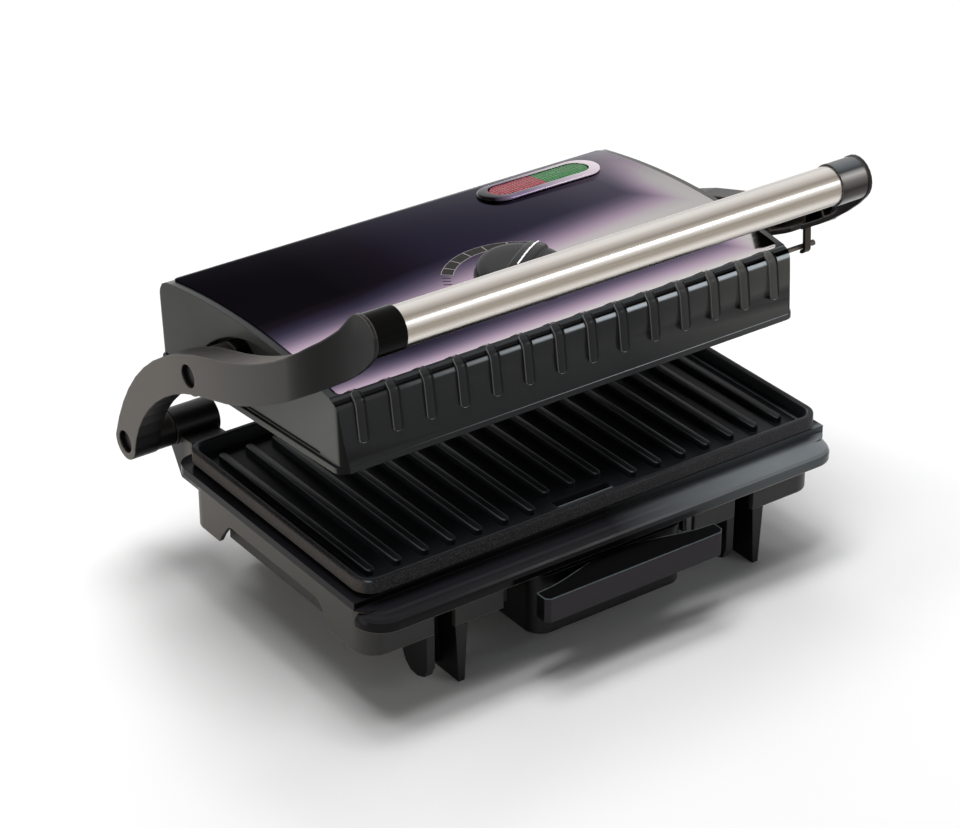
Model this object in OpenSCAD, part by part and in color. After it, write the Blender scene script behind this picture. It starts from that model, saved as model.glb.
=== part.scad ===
// Electric contact grill with a floating lid, held open on its stop hook.
// +Z is up and the front faces -Y. The origin lies on the table, below the middle of the whole grill.

/* [Lower plate] */
// Width of the lower grill plate
plate_w = 241.4; // [220:0.1:260]
// Depth of the lower grill plate
plate_d = 139.6; // [125:0.1:155]
// Height of the lower rib tops above the table
rib_top_z = 61.3; // [58:0.1:70]
// Height of the plate rim above the rib tops
rim_h = 3.8; // [2:0.1:6]
// Height of the rough outer band of the rim
band_h = 5.9; // [4.5:0.1:7]
// Thickness of the rim wall
rim_t = 3; // [2:0.1:4]
// Corner radius of the plate
plate_r = 9; // [6:0.5:14]
// Pitch of the ribs
rib_pitch = 13.5; // [12:0.1:14.5]
// Number of ribs
rib_count = 17; // [9:2:17]
// Height of the ribs above the valleys
rib_h = 3; // [2:0.1:4]
// Width of one rib
rib_w = 4.2; // [3:0.1:6]

/* [Base] */
// Width of the base housing
base_w = 239; // [225:0.5:240]
// Depth of the base housing
base_d = 137.4; // [130:0.2:142]
// Corner radius of the base housing
base_r = 10; // [6:0.5:14]
// Height of the lower edge of the housing above the table
skirt_z = 28; // [24:0.5:32]
// Wall thickness of the base housing
wall = 2.2; // [1.8:0.1:3]
// Reach of the front lip ahead of the plate
lip_reach = 10.6; // [8:0.2:13]
// Reach of the side flange beyond the plate
flange_reach = 3.3; // [2:0.1:5]
// Outer radius of the front corners of the lip
lip_r = 13; // [12:0.5:16]
// Width of the mouth for the drip tray
mouth_w = 102; // [100:1:110]

/* [Legs] */
// Distance from the middle to the inner face of each front leg
leg_in = 69.5; // [65:0.5:80]
// Width of a leg
leg_w = 20.5; // [18:0.5:24]
// Depth of a leg
leg_d = 19.5; // [15:0.5:25]

/* [Drip tray] */
// Width of the drip tray body
tray_w = 80; // [60:1:84]
// Length of the drip tray body
tray_l = 98; // [80:1:110]
// Clearance between the drip tray and the table
tray_gap = 12.8; // [8:0.2:16]
// Wall thickness of the drip tray
tray_t = 1.8; // [1.2:0.1:2.5]
// Width of the tray handle
grip_w = 94; // [80:1:98]
// Height of the tray handle
grip_h = 11.5; // [9:0.5:12]
// Reach of the tray handle ahead of the base housing
grip_reach = 24.7; // [22:0.1:30]

/* [Hinge] */
// Distance of the hinge axis behind the middle of the plate
hinge_back = 89.9; // [86:0.1:96]
// Height of the hinge axis above the rib tops
hinge_up = 1.5; // [0:0.1:5]
// Radius of the hinge barrels and of the rear ends of the arms
barrel_r = 8.3; // [7:0.1:9]
// Radius of the hinge pins and of the lid pivot pins
pin_r = 3; // [2.5:0.1:3.5]
// Radial running clearance of the pins
run_gap = 0.05; // [0.02:0.01:0.1]

/* [Arms] */
// Distance from the middle to the outer face of an arm at the hinge
arm_out = 138; // [136:0.5:142]
// Width of an arm at the hinge
arm_t = 12; // [10:0.5:13]
// Distance from the middle to the outer face of an arm at the handle
arm_out_front = 124.6; // [124:0.1:128]
// Wall thickness of the arms
arm_wall = 2.2; // [1.8:0.1:3]
// Distance of the lid pivot ahead of the hinge axis
pivot_fwd = 58; // [54:0.5:62]
// Height of the lid pivot above the hinge axis
pivot_up = 57.7; // [54:0.1:62]
// Distance of the handle tube ahead of the hinge axis
tube_fwd = 167.4; // [160:0.5:175]
// Height of the handle tube above the hinge axis
tube_up = 117.9; // [112:0.5:124]
// Radius of the handle tube
tube_r = 8.5; // [7:0.1:9]
// Wall thickness of the handle tube
tube_t = 1; // [0.8:0.1:1.5]
// Length of the handle tube
tube_l = 218.4; // [200:0.2:225]
// Radius of the collars at the ends of the handle
collar_r = 9.2; // [8.8:0.1:10]

/* [Lid] */
// Angle by which the front of the lid is raised at rest
lid_tilt = 3.7; // [3:0.1:5]
// Width of the lid housing
lid_w = 234.8; // [225:0.2:238]
// Distance from the pivot to the lower front edge of the lid
lid_front = 82.8; // [78:0.2:86]
// Distance from the pivot to the lower rear edge of the lid
lid_back = 60.4; // [56:0.2:64]
// Depth of the lower edge of the lid below the pivot
lid_drop = 20; // [19:0.1:22]
// Height of the front edge of the lid above the pivot
lid_front_h = 10.2; // [8:0.1:11]
// Radius of the lid's upper curve from front to rear
crown_r = 378.4; // [340:0.2:420]
// Height of the crown above the pivot
crown_h = 22.3; // [21:0.1:24]
// Distance of the crown behind the pivot
crown_y = 8.2; // [4:0.2:12]
// Thickness of the sheet steel cover
cover_t = 0.8; // [0.6:0.1:1.2]
// Wall thickness of the lid housing
lid_wall = 2.2; // [1.8:0.1:3]
// Number of ridges on the lid's front
ridge_count = 14; // [8:2:14]
// Pitch of the ridges
ridge_pitch = 16.38; // [14:0.02:16.6]
// Width of one ridge
ridge_w = 5.4; // [4.4:0.2:7]
// Distance from the lower edge of the lid to the foot of a ridge
ridge_foot = 11.4; // [9:0.1:14]

/* [Controls] */
// Distance of the knob ahead of the pivot
knob_fwd = 45; // [42:0.5:48]
// Radius of the knob's skirt
skirt_r = 22.6; // [18:0.2:24]
// Height of the knob's body above the cover
knob_h = 8; // [6:0.5:10]
// Height of the knob's grip blade above the cover
blade_h = 12; // [10:0.5:14]
// Direction of the pointer, counted from the right
pointer_at = 33; // [0:1:60]
// Length of the bezel round the lights
bezel_l = 66; // [60:0.5:72]
// Width of the bezel round the lights
bezel_w = 22.5; // [20:0.5:25]
// Distance from the middle to the centre of the lights
lights_x = 66.5; // [60:0.5:72]
// Distance of the lights behind the pivot
lights_y = 33.3; // [31:0.1:35]

/* [Hidden] */
$fn = 64;

near = 0.3;      // gap between pieces that move past each other
cut = 1;         // how far a cutter runs past the face that it opens
seat = 0.1;      // play of a piece in its seat within one body

// Places of the plate and of the base, from the middle of the whole grill
grip_ahead = base_d / 2 + grip_reach;
plate_y = (grip_ahead - hinge_back - barrel_r) / 2;
grip_front = plate_y - grip_ahead;
rim_z = rib_top_z + rim_h;
band_z = rim_z - band_h;
valley_z = rib_top_z - rib_h;
plate_t = 3.5;
plate_foot_z = valley_z - plate_t;
foot_inset = 4;
step_inset = 1.6;
step_z = valley_z - 1.5;
base_front = plate_y - base_d / 2;
base_back = plate_y + base_d / 2;
deck_t = 2;
deck_z = 44;
trim_z = rib_top_z - 8.5;
flange_top = rib_top_z - 4.5;
lip_y = plate_y - plate_d / 2 - lip_reach;
trim_w = plate_w + 2 * flange_reach;
trim_back = plate_y + plate_d / 2 + flange_reach;
lip_z = rib_top_z - 13;
lip_foot = rib_top_z - 15.2;
lip_in_z = rib_top_z - 7.5;

// Hinge, arms and handle
hinge_y = plate_y + hinge_back;
hinge_z = rib_top_z + hinge_up;
hole_r = pin_r + run_gap;
barrel_out = 116.6;
barrel_in = 95;
arm_in = arm_out - arm_t;
pivot_y = hinge_y - pivot_fwd;
pivot_z = hinge_z + pivot_up;
tube_y = hinge_y - tube_fwd;
tube_z = hinge_z + tube_up;
boss_r = 9;
boss_in = lid_w / 2 + near;
pocket_floor = lid_w / 2 - 6.5;
end_r = 9.6;
collar_end = arm_out_front - 1.8;
pin_head_r = 4.4;
recess_r = 5.2;
pin_head_t = 2;
recess_t = 4;

// Lid, in its own frame about the pivot, with y to the rear and z square to the lower edge
crown_z = crown_h - crown_r;
function crown(y, drop = 0) = crown_z + sqrt(pow(crown_r - drop, 2) - pow(y - crown_y, 2));
function lean(y) = asin((y - crown_y) / crown_r);
cover_front = -75.8;
cover_back = 50.5;
cover_w = lid_w - 7;
lid_top_front = lid_front - 2.6;
lid_mid = (lid_back - lid_front) / 2;
front_lean = atan((lid_front - lid_top_front) / (lid_front_h + lid_drop));
upper_valley_z = -20.8;
upper_rib_h = 3;
upper_plate_t = 3.5;
upper_plate_w = lid_w - 2 * (lid_wall + 4);
upper_plate_d = lid_front + lid_back - 16;
upper_back_z = upper_valley_z + upper_plate_t;
stop_y = -74.8;
stop_z = 8;
stop_r = 1.1;
stop_tip = 135;
hook_x = [127.5, 130.7];
hook_t = 1.7;
hook_in_r = stop_r + near;
hook_up = 17.5;

function bez(p, n = 10) = [for (i = [0 : n]) let (t = i / n, s = 1 - t)
  s * s * s * p[0] + 3 * s * s * t * p[1] + 3 * s * t * t * p[2] + t * t * t * p[3]];
function tail(a) = [for (i = [1 : len(a) - 1]) a[i]];
function back(a) = [for (i = [len(a) - 1 : -1 : 0]) a[i]];
function side(a, i) = let (d = a[min(i + 1, len(a) - 1)] - a[max(i - 1, 0)]) [-d[1], d[0]] / norm(d);
function shifted(a, d) = [for (i = [0 : len(a) - 1]) a[i] + d * side(a, i)];
function half_wave(t) = (1 - cos(180 * max(0, min(1, t)))) / 2;

// Outlines of an arm, forward and up from the hinge axis. The front half follows the handle.
arm_mid_up = [76, 73.7];
arm_mid_low = [76, 54.8];
arm_upper = concat(
  bez([[-barrel_r, 0], [3, 35], [28.5, 61.2], arm_mid_up]),
  tail(bez([arm_mid_up, [107, 81.9], [tube_fwd - 20.6, tube_up - 16], [tube_fwd - 8, tube_up + 5.3]])));
arm_lower = concat(
  bez([[barrel_r, 0], [13.4, 22.2], [36, 45.8], arm_mid_low]),
  tail(bez([arm_mid_low, [113, 63.2], [tube_fwd - 4, tube_up - 22], [tube_fwd + 7.2, tube_up - 6.4]])));
function arc(c, r, from, to, n) = [for (i = [1 : n - 1]) let (a = from + (to - from) * i / n)
  c + r * [cos(a), sin(a)]];
arm_ring = concat(arm_upper, arc([tube_fwd, tube_up], end_r, 146.5, -41.6, 12), back(arm_lower),
  arc([0, 0], barrel_r, 0, -180, 12));
bend_from = hinge_y - 135;
bend_to = hinge_y - 163;

// Exact plan of a box with round corners
module round_box(w, d, r) {
  square([w - 2 * r, d], center = true);
  square([w, d - 2 * r], center = true);
  for (sx = [-1, 1], sy = [-1, 1])
    translate([sx * (w / 2 - r), sy * (d / 2 - r)]) circle(r = r);
}

module slab(w, d, r, z0, z1)
  translate([0, 0, z0]) linear_extrude(z1 - z0) round_box(w, d, r);

// An outline in y and z, carried along x
module along_x(x0, x1)
  translate([x0, 0, 0]) rotate([90, 0, 90]) linear_extrude(x1 - x0) children();

module rod_x(x0, x1, r)
  translate([x0, 0, 0]) rotate([0, 90, 0]) cylinder(r = r, h = x1 - x0);

module both() {
  children();
  mirror([1, 0, 0]) children();
}

module at_plate() translate([0, plate_y, 0]) children();
module at_hinge() translate([0, hinge_y, hinge_z]) children();
module at_lid() translate([0, pivot_y, pivot_z]) rotate([-lid_tilt, 0, 0]) children();

// Square to the lid's curve at one place of it
module on_crown(x, y) translate([x, y, crown(y)]) rotate([-lean(y), 0, 0]) children();

// Lower plate and what hangs under it
screw_x = base_w / 2 - 34.5;
screw_y = base_d / 2 - 23.7;
lower_boss_z = deck_z + deck_t;

// Slot in the plate through which fat drains, and the spout under it
slot_w = 29;
slot_d = 4;
slot_y = 13.4;
spout_w = 36;
spout_d = 9;
spout_y = 11;
spout_play = 0.8;

module spout_hole(z0, z1) translate([-spout_w / 2 - spout_play, -plate_d / 2 + spout_y - spout_play, z0])
  cube([spout_w + 2 * spout_play, spout_d + 2 * spout_play, z1 - z0]);

function rib_front(i) = abs(i - (rib_count + 1) / 2) < 1.5 ? 21.4 : 13.4;

module rib(x, y0, y1, z, h, w, up = 1)
  translate([x, 0, z]) mirror([0, 0, up > 0 ? 0 : 1]) {
    translate([-w / 2, y0 + w / 2, -cut]) cube([w, y1 - y0 - w, h + cut - 0.5]);
    for (y = [y0 + w / 2, y1 - w / 2]) translate([0, y, -cut]) cylinder(r = w / 2, h = h + cut - 0.5);
    translate([-w / 2 + 0.6, y0 + w / 2, h - 0.6]) cube([w - 1.2, y1 - y0 - w, 0.6]);
    for (y = [y0 + w / 2, y1 - w / 2]) translate([0, y, h - 0.6]) cylinder(r = w / 2 - 0.6, h = 0.6);
  }

module lower_plate() {
  color("#26282b") at_plate() difference() {
    union() {
      difference() {
        slab(plate_w, plate_d, plate_r, band_z, rim_z);
        slab(plate_w - 2 * rim_t, plate_d - 2 * rim_t, plate_r - rim_t, valley_z, rim_z + cut);
      }
      difference() {
        slab(plate_w - 2 * step_inset, plate_d - 2 * step_inset, plate_r - step_inset, step_z, band_z + 0.1);
        slab(plate_w - 2 * rim_t, plate_d - 2 * rim_t, plate_r - rim_t, valley_z, rim_z + cut);
      }
      slab(plate_w - 2 * foot_inset, plate_d - 2 * foot_inset, plate_r - foot_inset, plate_foot_z,
        valley_z);
      for (i = [1 : rib_count])
        rib((i - (rib_count + 1) / 2) * rib_pitch, -plate_d / 2 + rib_front(i), plate_d / 2 - 9.8,
          valley_z, rib_h, rib_w);
      for (sx = [-1, 1], sy = [-1, 1])
        translate([sx * screw_x, sy * screw_y, lower_boss_z])
          cylinder(r = 4, h = plate_foot_z - lower_boss_z);
      translate([-spout_w / 2, -plate_d / 2 + spout_y, lower_boss_z + 0.5])
        cube([spout_w, spout_d, plate_foot_z - lower_boss_z]);
    }
    translate([-slot_w / 2, -plate_d / 2 + slot_y, lower_boss_z - cut]) cube([slot_w, slot_d, 20]);
    for (sx = [-1, 1], sy = [-1, 1])
      translate([sx * screw_x, sy * screw_y, lower_boss_z - cut]) cylinder(r = 1.6, h = 9);
  }
}

// A heater rod bent into a hairpin, lying flat
heater_r = 3.2;
heater_x = 60;
heater_y = 28;
bend_r = 20;

module heater_loop(z) translate([0, 0, z]) {
  for (sy = [-1, 1]) translate([0, sy * heater_y, 0]) rod_x(-heater_x, heater_x, heater_r);
  for (sx = [-1, 1], sy = [-1, 1])
    translate([sx * heater_x, sy * (heater_y - bend_r), 0]) rotate([0, 0, sx > 0 ? (sy > 0 ? 0 : -90)
      : (sy > 0 ? 90 : 180)]) rotate_extrude(angle = 90) translate([bend_r, 0]) circle(r = heater_r);
  translate([heater_x + bend_r, -heater_y + bend_r, 0]) rotate([-90, 0, 0])
    cylinder(r = heater_r, h = 2 * (heater_y - bend_r));
  for (sy = [-1, 1]) translate([-heater_x - bend_r, sy * (heater_y - bend_r), 0])
    rotate([sy * 90, 0, 0]) cylinder(r = heater_r, h = heater_y - bend_r - 3);
}

module lower_heater()
  color("#8a8f94") at_plate() heater_loop(plate_foot_z - heater_r - seat);

pan_t = 0.8;
pan_play = 2.7;
pan_w = base_w - 2 * wall - 2 * pan_play;
pan_d = base_d - 2 * wall - 2 * pan_play;

module lower_reflector() {
  color("#b9bcc0") at_plate() difference() {
    slab(pan_w, pan_d, 6, lower_boss_z, trim_z - near);
    slab(pan_w - 2 * pan_t, pan_d - 2 * pan_t, 5.2, lower_boss_z + pan_t, plate_foot_z + cut);
    for (sx = [-1, 1], sy = [-1, 1])
      translate([sx * screw_x, sy * screw_y, lower_boss_z - cut]) cylinder(r = 5, h = 4);
    spout_hole(lower_boss_z - cut, lower_boss_z + pan_t + cut);
  }
}

module lower_plate_screws() {
  color("#c4c7ca") at_plate() for (sx = [-1, 1], sy = [-1, 1]) translate([sx * screw_x, sy * screw_y, 0]) {
    translate([0, 0, deck_z - 2.2]) cylinder(r = 3.4, h = 2.2);
    translate([0, 0, deck_z - 0.1]) cylinder(r = 1.5, h = 9);
  }
}

// Base housing: skirt, deck and the mouth for the drip tray
notch_front = base_front + 34;
notch_back = base_back - 31;
notch_h = 11.8;
notch_top = skirt_z + notch_h;

module notch_outline() polygon([[notch_front - 8, skirt_z - cut], [notch_front - 5, skirt_z + 4],
  [notch_front, notch_top - 1.5], [notch_front + 3, notch_top], [notch_back - 3, notch_top],
  [notch_back, notch_top - 1.5], [notch_back + 5, skirt_z + 4], [notch_back + 8, skirt_z - cut]]);

// Bracket that carries a hinge barrel behind the trim
module bracket_outline() polygon([[base_back - wall, skirt_z + 12], [hinge_y - 6, skirt_z + 12],
  [hinge_y + barrel_r - 2, hinge_z - 3], [trim_back + near, hinge_z - 1], [trim_back + near, trim_z - near],
  [base_back - wall, trim_z - near]]);

module base_shell() {
  color("#2b2c2e") difference() {
    union() {
      at_plate() difference() {
        slab(base_w, base_d, base_r, skirt_z, trim_z);
        slab(base_w - 2 * wall, base_d - 2 * wall, base_r - wall, skirt_z - cut, deck_z);
        slab(base_w - 2 * wall, base_d - 2 * wall, base_r - wall, deck_z + deck_t, trim_z + cut);
      }
      both() {
        at_hinge() rod_x(barrel_in, barrel_out, barrel_r);
        along_x(barrel_in + 2, barrel_out - 2) bracket_outline();
      }
    }
    translate([-mouth_w / 2, base_front - cut, skirt_z - cut])
      cube([mouth_w, wall + 2 * cut, deck_z - skirt_z + cut]);
    for (sx = [-1, 1]) along_x(sx > 0 ? base_w / 2 - wall - cut : -base_w / 2 - cut,
      sx > 0 ? base_w / 2 + cut : -base_w / 2 + wall + cut) notch_outline();
    at_plate() for (sx = [-1, 1], sy = [-1, 1])
      translate([sx * screw_x, sy * screw_y, deck_z - cut]) cylinder(r = 1.8, h = deck_t + 2 * cut);
    at_plate() spout_hole(deck_z - cut, deck_z + deck_t + cut);
    at_hinge() both() rod_x(barrel_in - cut, barrel_out + cut, hole_r);
    translate([0, base_back - wall - cut, inlet_z]) rotate([-90, 0, 0]) cylinder(r = 6, h = wall + 2 * cut);
    for (x = [-leg_in - leg_w, leg_in]) translate([x + 4, base_front - cut, skirt_z - cut])
      cube([leg_w - 10, wall + 2 * cut, lip_foot - skirt_z - 2]);
  }
}

inlet_z = 37;

// Grommet where the mains lead enters the rear wall
module cord_inlet() {
  color("#1c1d1e") translate([0, base_back, inlet_z]) rotate([-90, 0, 0]) difference() {
    union() {
      translate([0, 0, -wall - 2]) cylinder(r = 5.9, h = wall + 4);
      cylinder(r = 8, h = 2.5);
    }
    translate([0, 0, -wall - 2 - cut]) cylinder(r = 3.4, h = 12);
  }
}

// Bottom covers beside the drip tray, and their screws
cover_z = skirt_z + 0.5;
cover_in = 54;
cover_out = base_w / 2 - wall - 3;
cover_inset = 24;
cover_screw_in = 8;
cover_front_y = base_front + cover_inset;
cover_back_y = base_back - cover_inset;
cover_screw_x = (cover_in + cover_out) / 2;
cover_screw_y = [cover_front_y + cover_screw_in, cover_back_y - cover_screw_in];

module base_cover() {
  color("#333436") both() difference() {
    union() {
      translate([cover_in, cover_front_y, cover_z])
        cube([cover_out - cover_in, cover_back_y - cover_front_y, 2]);
      for (x = [cover_in, cover_out - 2]) translate([x, cover_front_y, cover_z + 2 - 0.1])
        cube([2, cover_back_y - cover_front_y, deck_z - cover_z - 2 + 0.1]);
      for (y = cover_screw_y) translate([cover_screw_x, y, cover_z + 1])
        cylinder(r = 3.5, h = deck_z - cover_z - 1);
    }
    for (y = cover_screw_y) translate([cover_screw_x, y, cover_z - cut])
      cylinder(r = 1.6, h = deck_z - cover_z + 2 * cut);
  }
}

module base_screws() {
  color("#c4c7ca") both() for (y = cover_screw_y)
    translate([cover_screw_x, y, cover_z - 2]) {
      cylinder(r = 3, h = 2);
      translate([0, 0, 1.9]) cylinder(r = 1.5, h = deck_z - cover_z - 1.5);
    }
}

// Trim round the plate: a flat flange at the sides and rear, a rounded lip along the front
module lip_outline() polygon(concat(
  [[5, lip_in_z - 4], [5, lip_in_z]],
  bez([[5, lip_in_z], [8, lip_in_z - 0.2], [lip_r - 1, lip_z + 4], [lip_r, lip_z + 0.6]], 7),
  [[lip_r, lip_foot], [lip_r - 2, lip_foot], [lip_r - 2.6, lip_z - 0.4], [8, lip_in_z - 4]]));

module front_trim() {
  side_x = trim_w / 2 - lip_r;
  corner_y = lip_y + lip_r;
  ring_front = corner_y - 5;
  ring_d = trim_back - ring_front;
  color("#1d1e20") difference() {
    union() {
      difference() {
        union() {
          translate([0, (trim_back + ring_front) / 2, 0]) slab(trim_w, ring_d, 8, trim_z, lip_in_z);
          difference() {
            translate([0, ring_front + ring_d / 2 - 10, 0]) slab(trim_w, ring_d + 20, 8, trim_z, flange_top);
            translate([-plate_w, corner_y - 40, trim_z - cut]) cube([2 * plate_w, 40, 40]);
          }
        }
        at_plate() slab(plate_w - 2 * foot_inset + 1, plate_d - 2 * foot_inset + 1, plate_r - foot_inset,
          trim_z - cut, flange_top + cut);
      }
      translate([0, corner_y, 0]) {
        along_x(-side_x, side_x) mirror([1, 0]) lip_outline();
        for (sx = [-1, 1]) translate([sx * side_x, 0, 0])
          rotate([0, 0, sx > 0 ? -90 : 180]) rotate_extrude(angle = 90) lip_outline();
      }
    }
    at_plate() slab(base_w + seat, base_d + seat, base_r, skirt_z, trim_z);
  }
}

// A leg: a plate, a web behind an open recess, and a fin that reaches the table
module leg(x0, y0) {
  top = skirt_z + 16;
  translate([x0, y0, 0]) {
    along_x(0, 4) polygon([[0, 12], [2, 7.5], [7, 5.7], [12, 6.2], [leg_d - 4, 9], [leg_d - 2, 13],
      [leg_d, skirt_z], [leg_d, top], [wall + 0.3, top], [wall + 0.3, skirt_z - 0.1], [0, skirt_z - 0.1]]);
    translate([0, leg_d - 4, 0]) rotate([90, 0, 0]) linear_extrude(2)
      polygon([[1, 9], [leg_w - 5, 3], [leg_w - 1, 3], [leg_w - 1, top], [1, top]]);
    translate([0, leg_d, 0]) rotate([90, 0, 0]) linear_extrude(leg_d)
      polygon([[leg_w - 4.5, 0], [leg_w - 1.5, 0], [leg_w, skirt_z - 0.1], [leg_w - 6, skirt_z - 0.1]]);
    translate([leg_w - 6, wall + 0.3, skirt_z - 0.2]) cube([6, leg_d - wall - 0.3, top - skirt_z + 0.2]);
    translate([8, leg_d - 9, 9]) cube([1.2, 6, top - 9]);
  }
}

module front_leg_left() color("#2b2c2e") leg(-leg_in - leg_w, base_front);
module front_leg_right() color("#2b2c2e") leg(leg_in, base_front);
module rear_leg_left() color("#2b2c2e")
  mirror([0, 1, 0]) leg(-leg_in - leg_w, -base_back);
module rear_leg_right() color("#2b2c2e")
  mirror([0, 1, 0]) leg(leg_in, -base_back);

// Drip tray on its rails, with the handle in front
tray_front = base_front - 7.7;
tray_top = deck_z - 2.6;
rim_out = 46;
tray_rim_t = 2;
rail_x = rim_out + 1;

module drip_tray() {
  color("#2a2b2d") difference() {
    union() {
      translate([0, tray_front + tray_l / 2, 0]) slab(tray_w, tray_l, 8, tray_gap, tray_top);
      translate([-rim_out, base_front + 3, tray_top - tray_rim_t])
        cube([2 * rim_out, tray_l - 12, tray_rim_t]);
    }
    translate([0, tray_front + tray_l / 2, 0]) slab(tray_w - 2 * tray_t, tray_l - 2 * tray_t, 6.2,
      tray_gap + tray_t, tray_top + cut);
  }
}

module tray_rails() {
  rail_z = tray_top - tray_rim_t - near;
  cheek_z = skirt_z + 0.5;
  color("#3a3b3d") both() {
    translate([rail_x, base_front + 3, cheek_z]) cube([2, tray_l - 8, deck_z - cheek_z]);
    translate([rim_out - 3, base_front + 3, rail_z - 2]) cube([rail_x - rim_out + 4, tray_l - 8, 2]);
    translate([rim_out - 3, base_front + 3 + tray_l - 8, rail_z - 2])
      cube([6, 2, deck_z - rail_z + 2]);
  }
}

grip_top = deck_z - 1.2;
grip_mid = 8.2;
grip_end = 7.3;
grip_back = [for (i = [0 : 12]) let (x = grip_w * (i / 12 - 0.5))
  [x, grip_front + grip_end + grip_mid * half_wave(1 - abs(x) / (grip_w / 2))]];

module tray_handle() {
  color("#3b3c3f") {
    translate([0, 0, grip_top - grip_h]) linear_extrude(grip_h)
      polygon(concat([[grip_w / 2, grip_front + 2], [grip_w / 2 - 2, grip_front],
        [2 - grip_w / 2, grip_front], [-grip_w / 2, grip_front + 2]], grip_back));
    for (x = [-22, 22]) translate([x - 4, grip_front + 6, grip_top - grip_h])
      cube([8, tray_front - grip_front - 6, 5]);
  }
}

// Hinge pins: steel, turning in the barrels and in the rear ends of the arms
pin_start = barrel_in + 2;

module hinge_pins() color("#b4b7bb") at_hinge() both() {
  rod_x(pin_start, arm_out - recess_t + 0.2, pin_r);
  rod_x(arm_out - recess_t + 0.15, arm_out - recess_t + 0.15 + pin_head_t, pin_head_r);
}

// An arm: a shell open towards the lid, with bosses for its two pins
arm_free = 80;

// What lies within an outline that runs straight, bends inwards on two equal arcs, and runs on straight
module inside_bend(x_front, x_rear, x_in = arm_free) {
  step = x_rear - x_front;
  run = bend_from - bend_to;
  r = (run * run + step * step) / (4 * step);
  translate([x_in, bend_from]) square([x_rear - x_in, run + pivot_fwd + tube_fwd]);
  intersection() {
    translate([x_rear - r, bend_from]) circle(r = r);
    translate([x_in, bend_from - run / 2]) square([x_rear - x_in, run / 2]);
  }
  difference() {
    translate([x_in, bend_to]) square([(x_front + x_rear) / 2 - x_in, run]);
    translate([x_front + r, bend_to]) circle(r = r);
  }
  translate([x_in, bend_to - pivot_fwd]) square([x_front - x_in, pivot_fwd]);
}

module arm_plan() linear_extrude(2 * tube_z) difference() {
  inside_bend(arm_out_front, arm_out);
  inside_bend(collar_end, arm_in, arm_free - cut);
}

module arm_pocket_plan() linear_extrude(2 * tube_z)
  inside_bend(arm_out_front - arm_wall, arm_out - arm_wall);

module arm_side() mirror([1, 0]) polygon(arm_ring);

module arm_core() mirror([1, 0]) polygon(concat(
  shifted(tail(arm_upper), -arm_wall), back(shifted(tail(arm_lower), arm_wall))));

module arm_ribs() mirror([1, 0]) for (p = [[28, 40, -45], [84, 62, -72], [112, 72, -66], [146, 95, -50]])
  translate([p[0], p[1]]) rotate(p[2]) square([60, 1.2], center = true);

module arm() {
  difference() {
    union() {
      difference() {
        intersection() {
          at_hinge() along_x(arm_free, arm_out + 1) arm_side();
          arm_plan();
        }
        intersection() {
          at_hinge() along_x(arm_free, arm_out + 1) difference() {
            arm_core();
            arm_ribs();
          }
          arm_pocket_plan();
        }
      }
      at_hinge() rod_x(barrel_out + near, arm_out - 1, barrel_r - 0.4);
      translate([0, pivot_y, pivot_z]) rod_x(boss_in, arm_out - 1, boss_r);
    }
    at_hinge() {
      rod_x(arm_free, arm_out + cut, hole_r);
      rod_x(arm_out - recess_t, arm_out + cut, recess_r);
    }
    translate([0, pivot_y, pivot_z]) {
      rod_x(arm_free, arm_out + cut, hole_r);
      rod_x(arm_out - recess_t, arm_out + cut, recess_r);
    }
    translate([0, tube_y, tube_z]) rod_x(arm_free, collar_end + rod_seat, rod_r + seat);
  }
}

// Way of the stop pin through the right arm, while the lid levels out as the arms come down
sweep_r = norm([stop_y, stop_z]);
sweep_from = atan2(stop_z, -stop_y);
close_swing = 25.6;
level_swing = close_swing - lid_tilt;
relief = stop_r + 2.2;

module stop_sweep() at_lid() rotate([0, 90, 0]) translate([0, 0, lid_w / 2 - 2])
  linear_extrude(arm_out - arm_wall - lid_w / 2 + 2) polygon(concat(
    [for (i = [-1 : 8]) let (a = sweep_from + i * (level_swing + 4) / 8)
      [-(sweep_r + relief) * sin(a), -(sweep_r + relief) * cos(a)]],
    [for (i = [8 : -1 : -1]) let (a = sweep_from + i * (level_swing + 4) / 8)
      [-(sweep_r - relief) * sin(a), -(sweep_r - relief) * cos(a)]]));

module arm_left() color("#3a3836") mirror([1, 0, 0]) arm();
module arm_right() color("#3a3836") difference() {
  arm();
  stop_sweep();
  at_lid() translate([hook_x[0] - near, stop_y - hook_in_r - hook_t - near, stop_z])
    cube([hook_x[1] - hook_x[0] + 2 * near, hook_t + 2 * near, 12]);
}

// Handle: a steel tube over a rod, between two collars
rod_r = 2.5;
rod_seat = 1;

module at_tube() translate([0, tube_y, tube_z]) children();

module handle_tube() color("#cfcac0") at_tube() difference() {
  rod_x(-tube_l / 2, tube_l / 2, tube_r);
  rod_x(-tube_l / 2 - cut, tube_l / 2 + cut, tube_r - tube_t);
}

module handle_rod() color("#a5a8ab") at_tube()
  rod_x(-collar_end - rod_seat + seat, collar_end + rod_seat - seat, rod_r);

module collar() at_tube() difference() {
  union() {
    rod_x(tube_l / 2, collar_end, collar_r);
    rod_x(tube_l / 2 - 8, tube_l / 2 + cut, tube_r - tube_t - seat / 2);
  }
  rod_x(tube_l / 2 - 9, collar_end + cut, rod_r + seat);
}

module collar_left() color("#141415") mirror([1, 0, 0]) collar();
module collar_right() color("#141415") collar();

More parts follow.
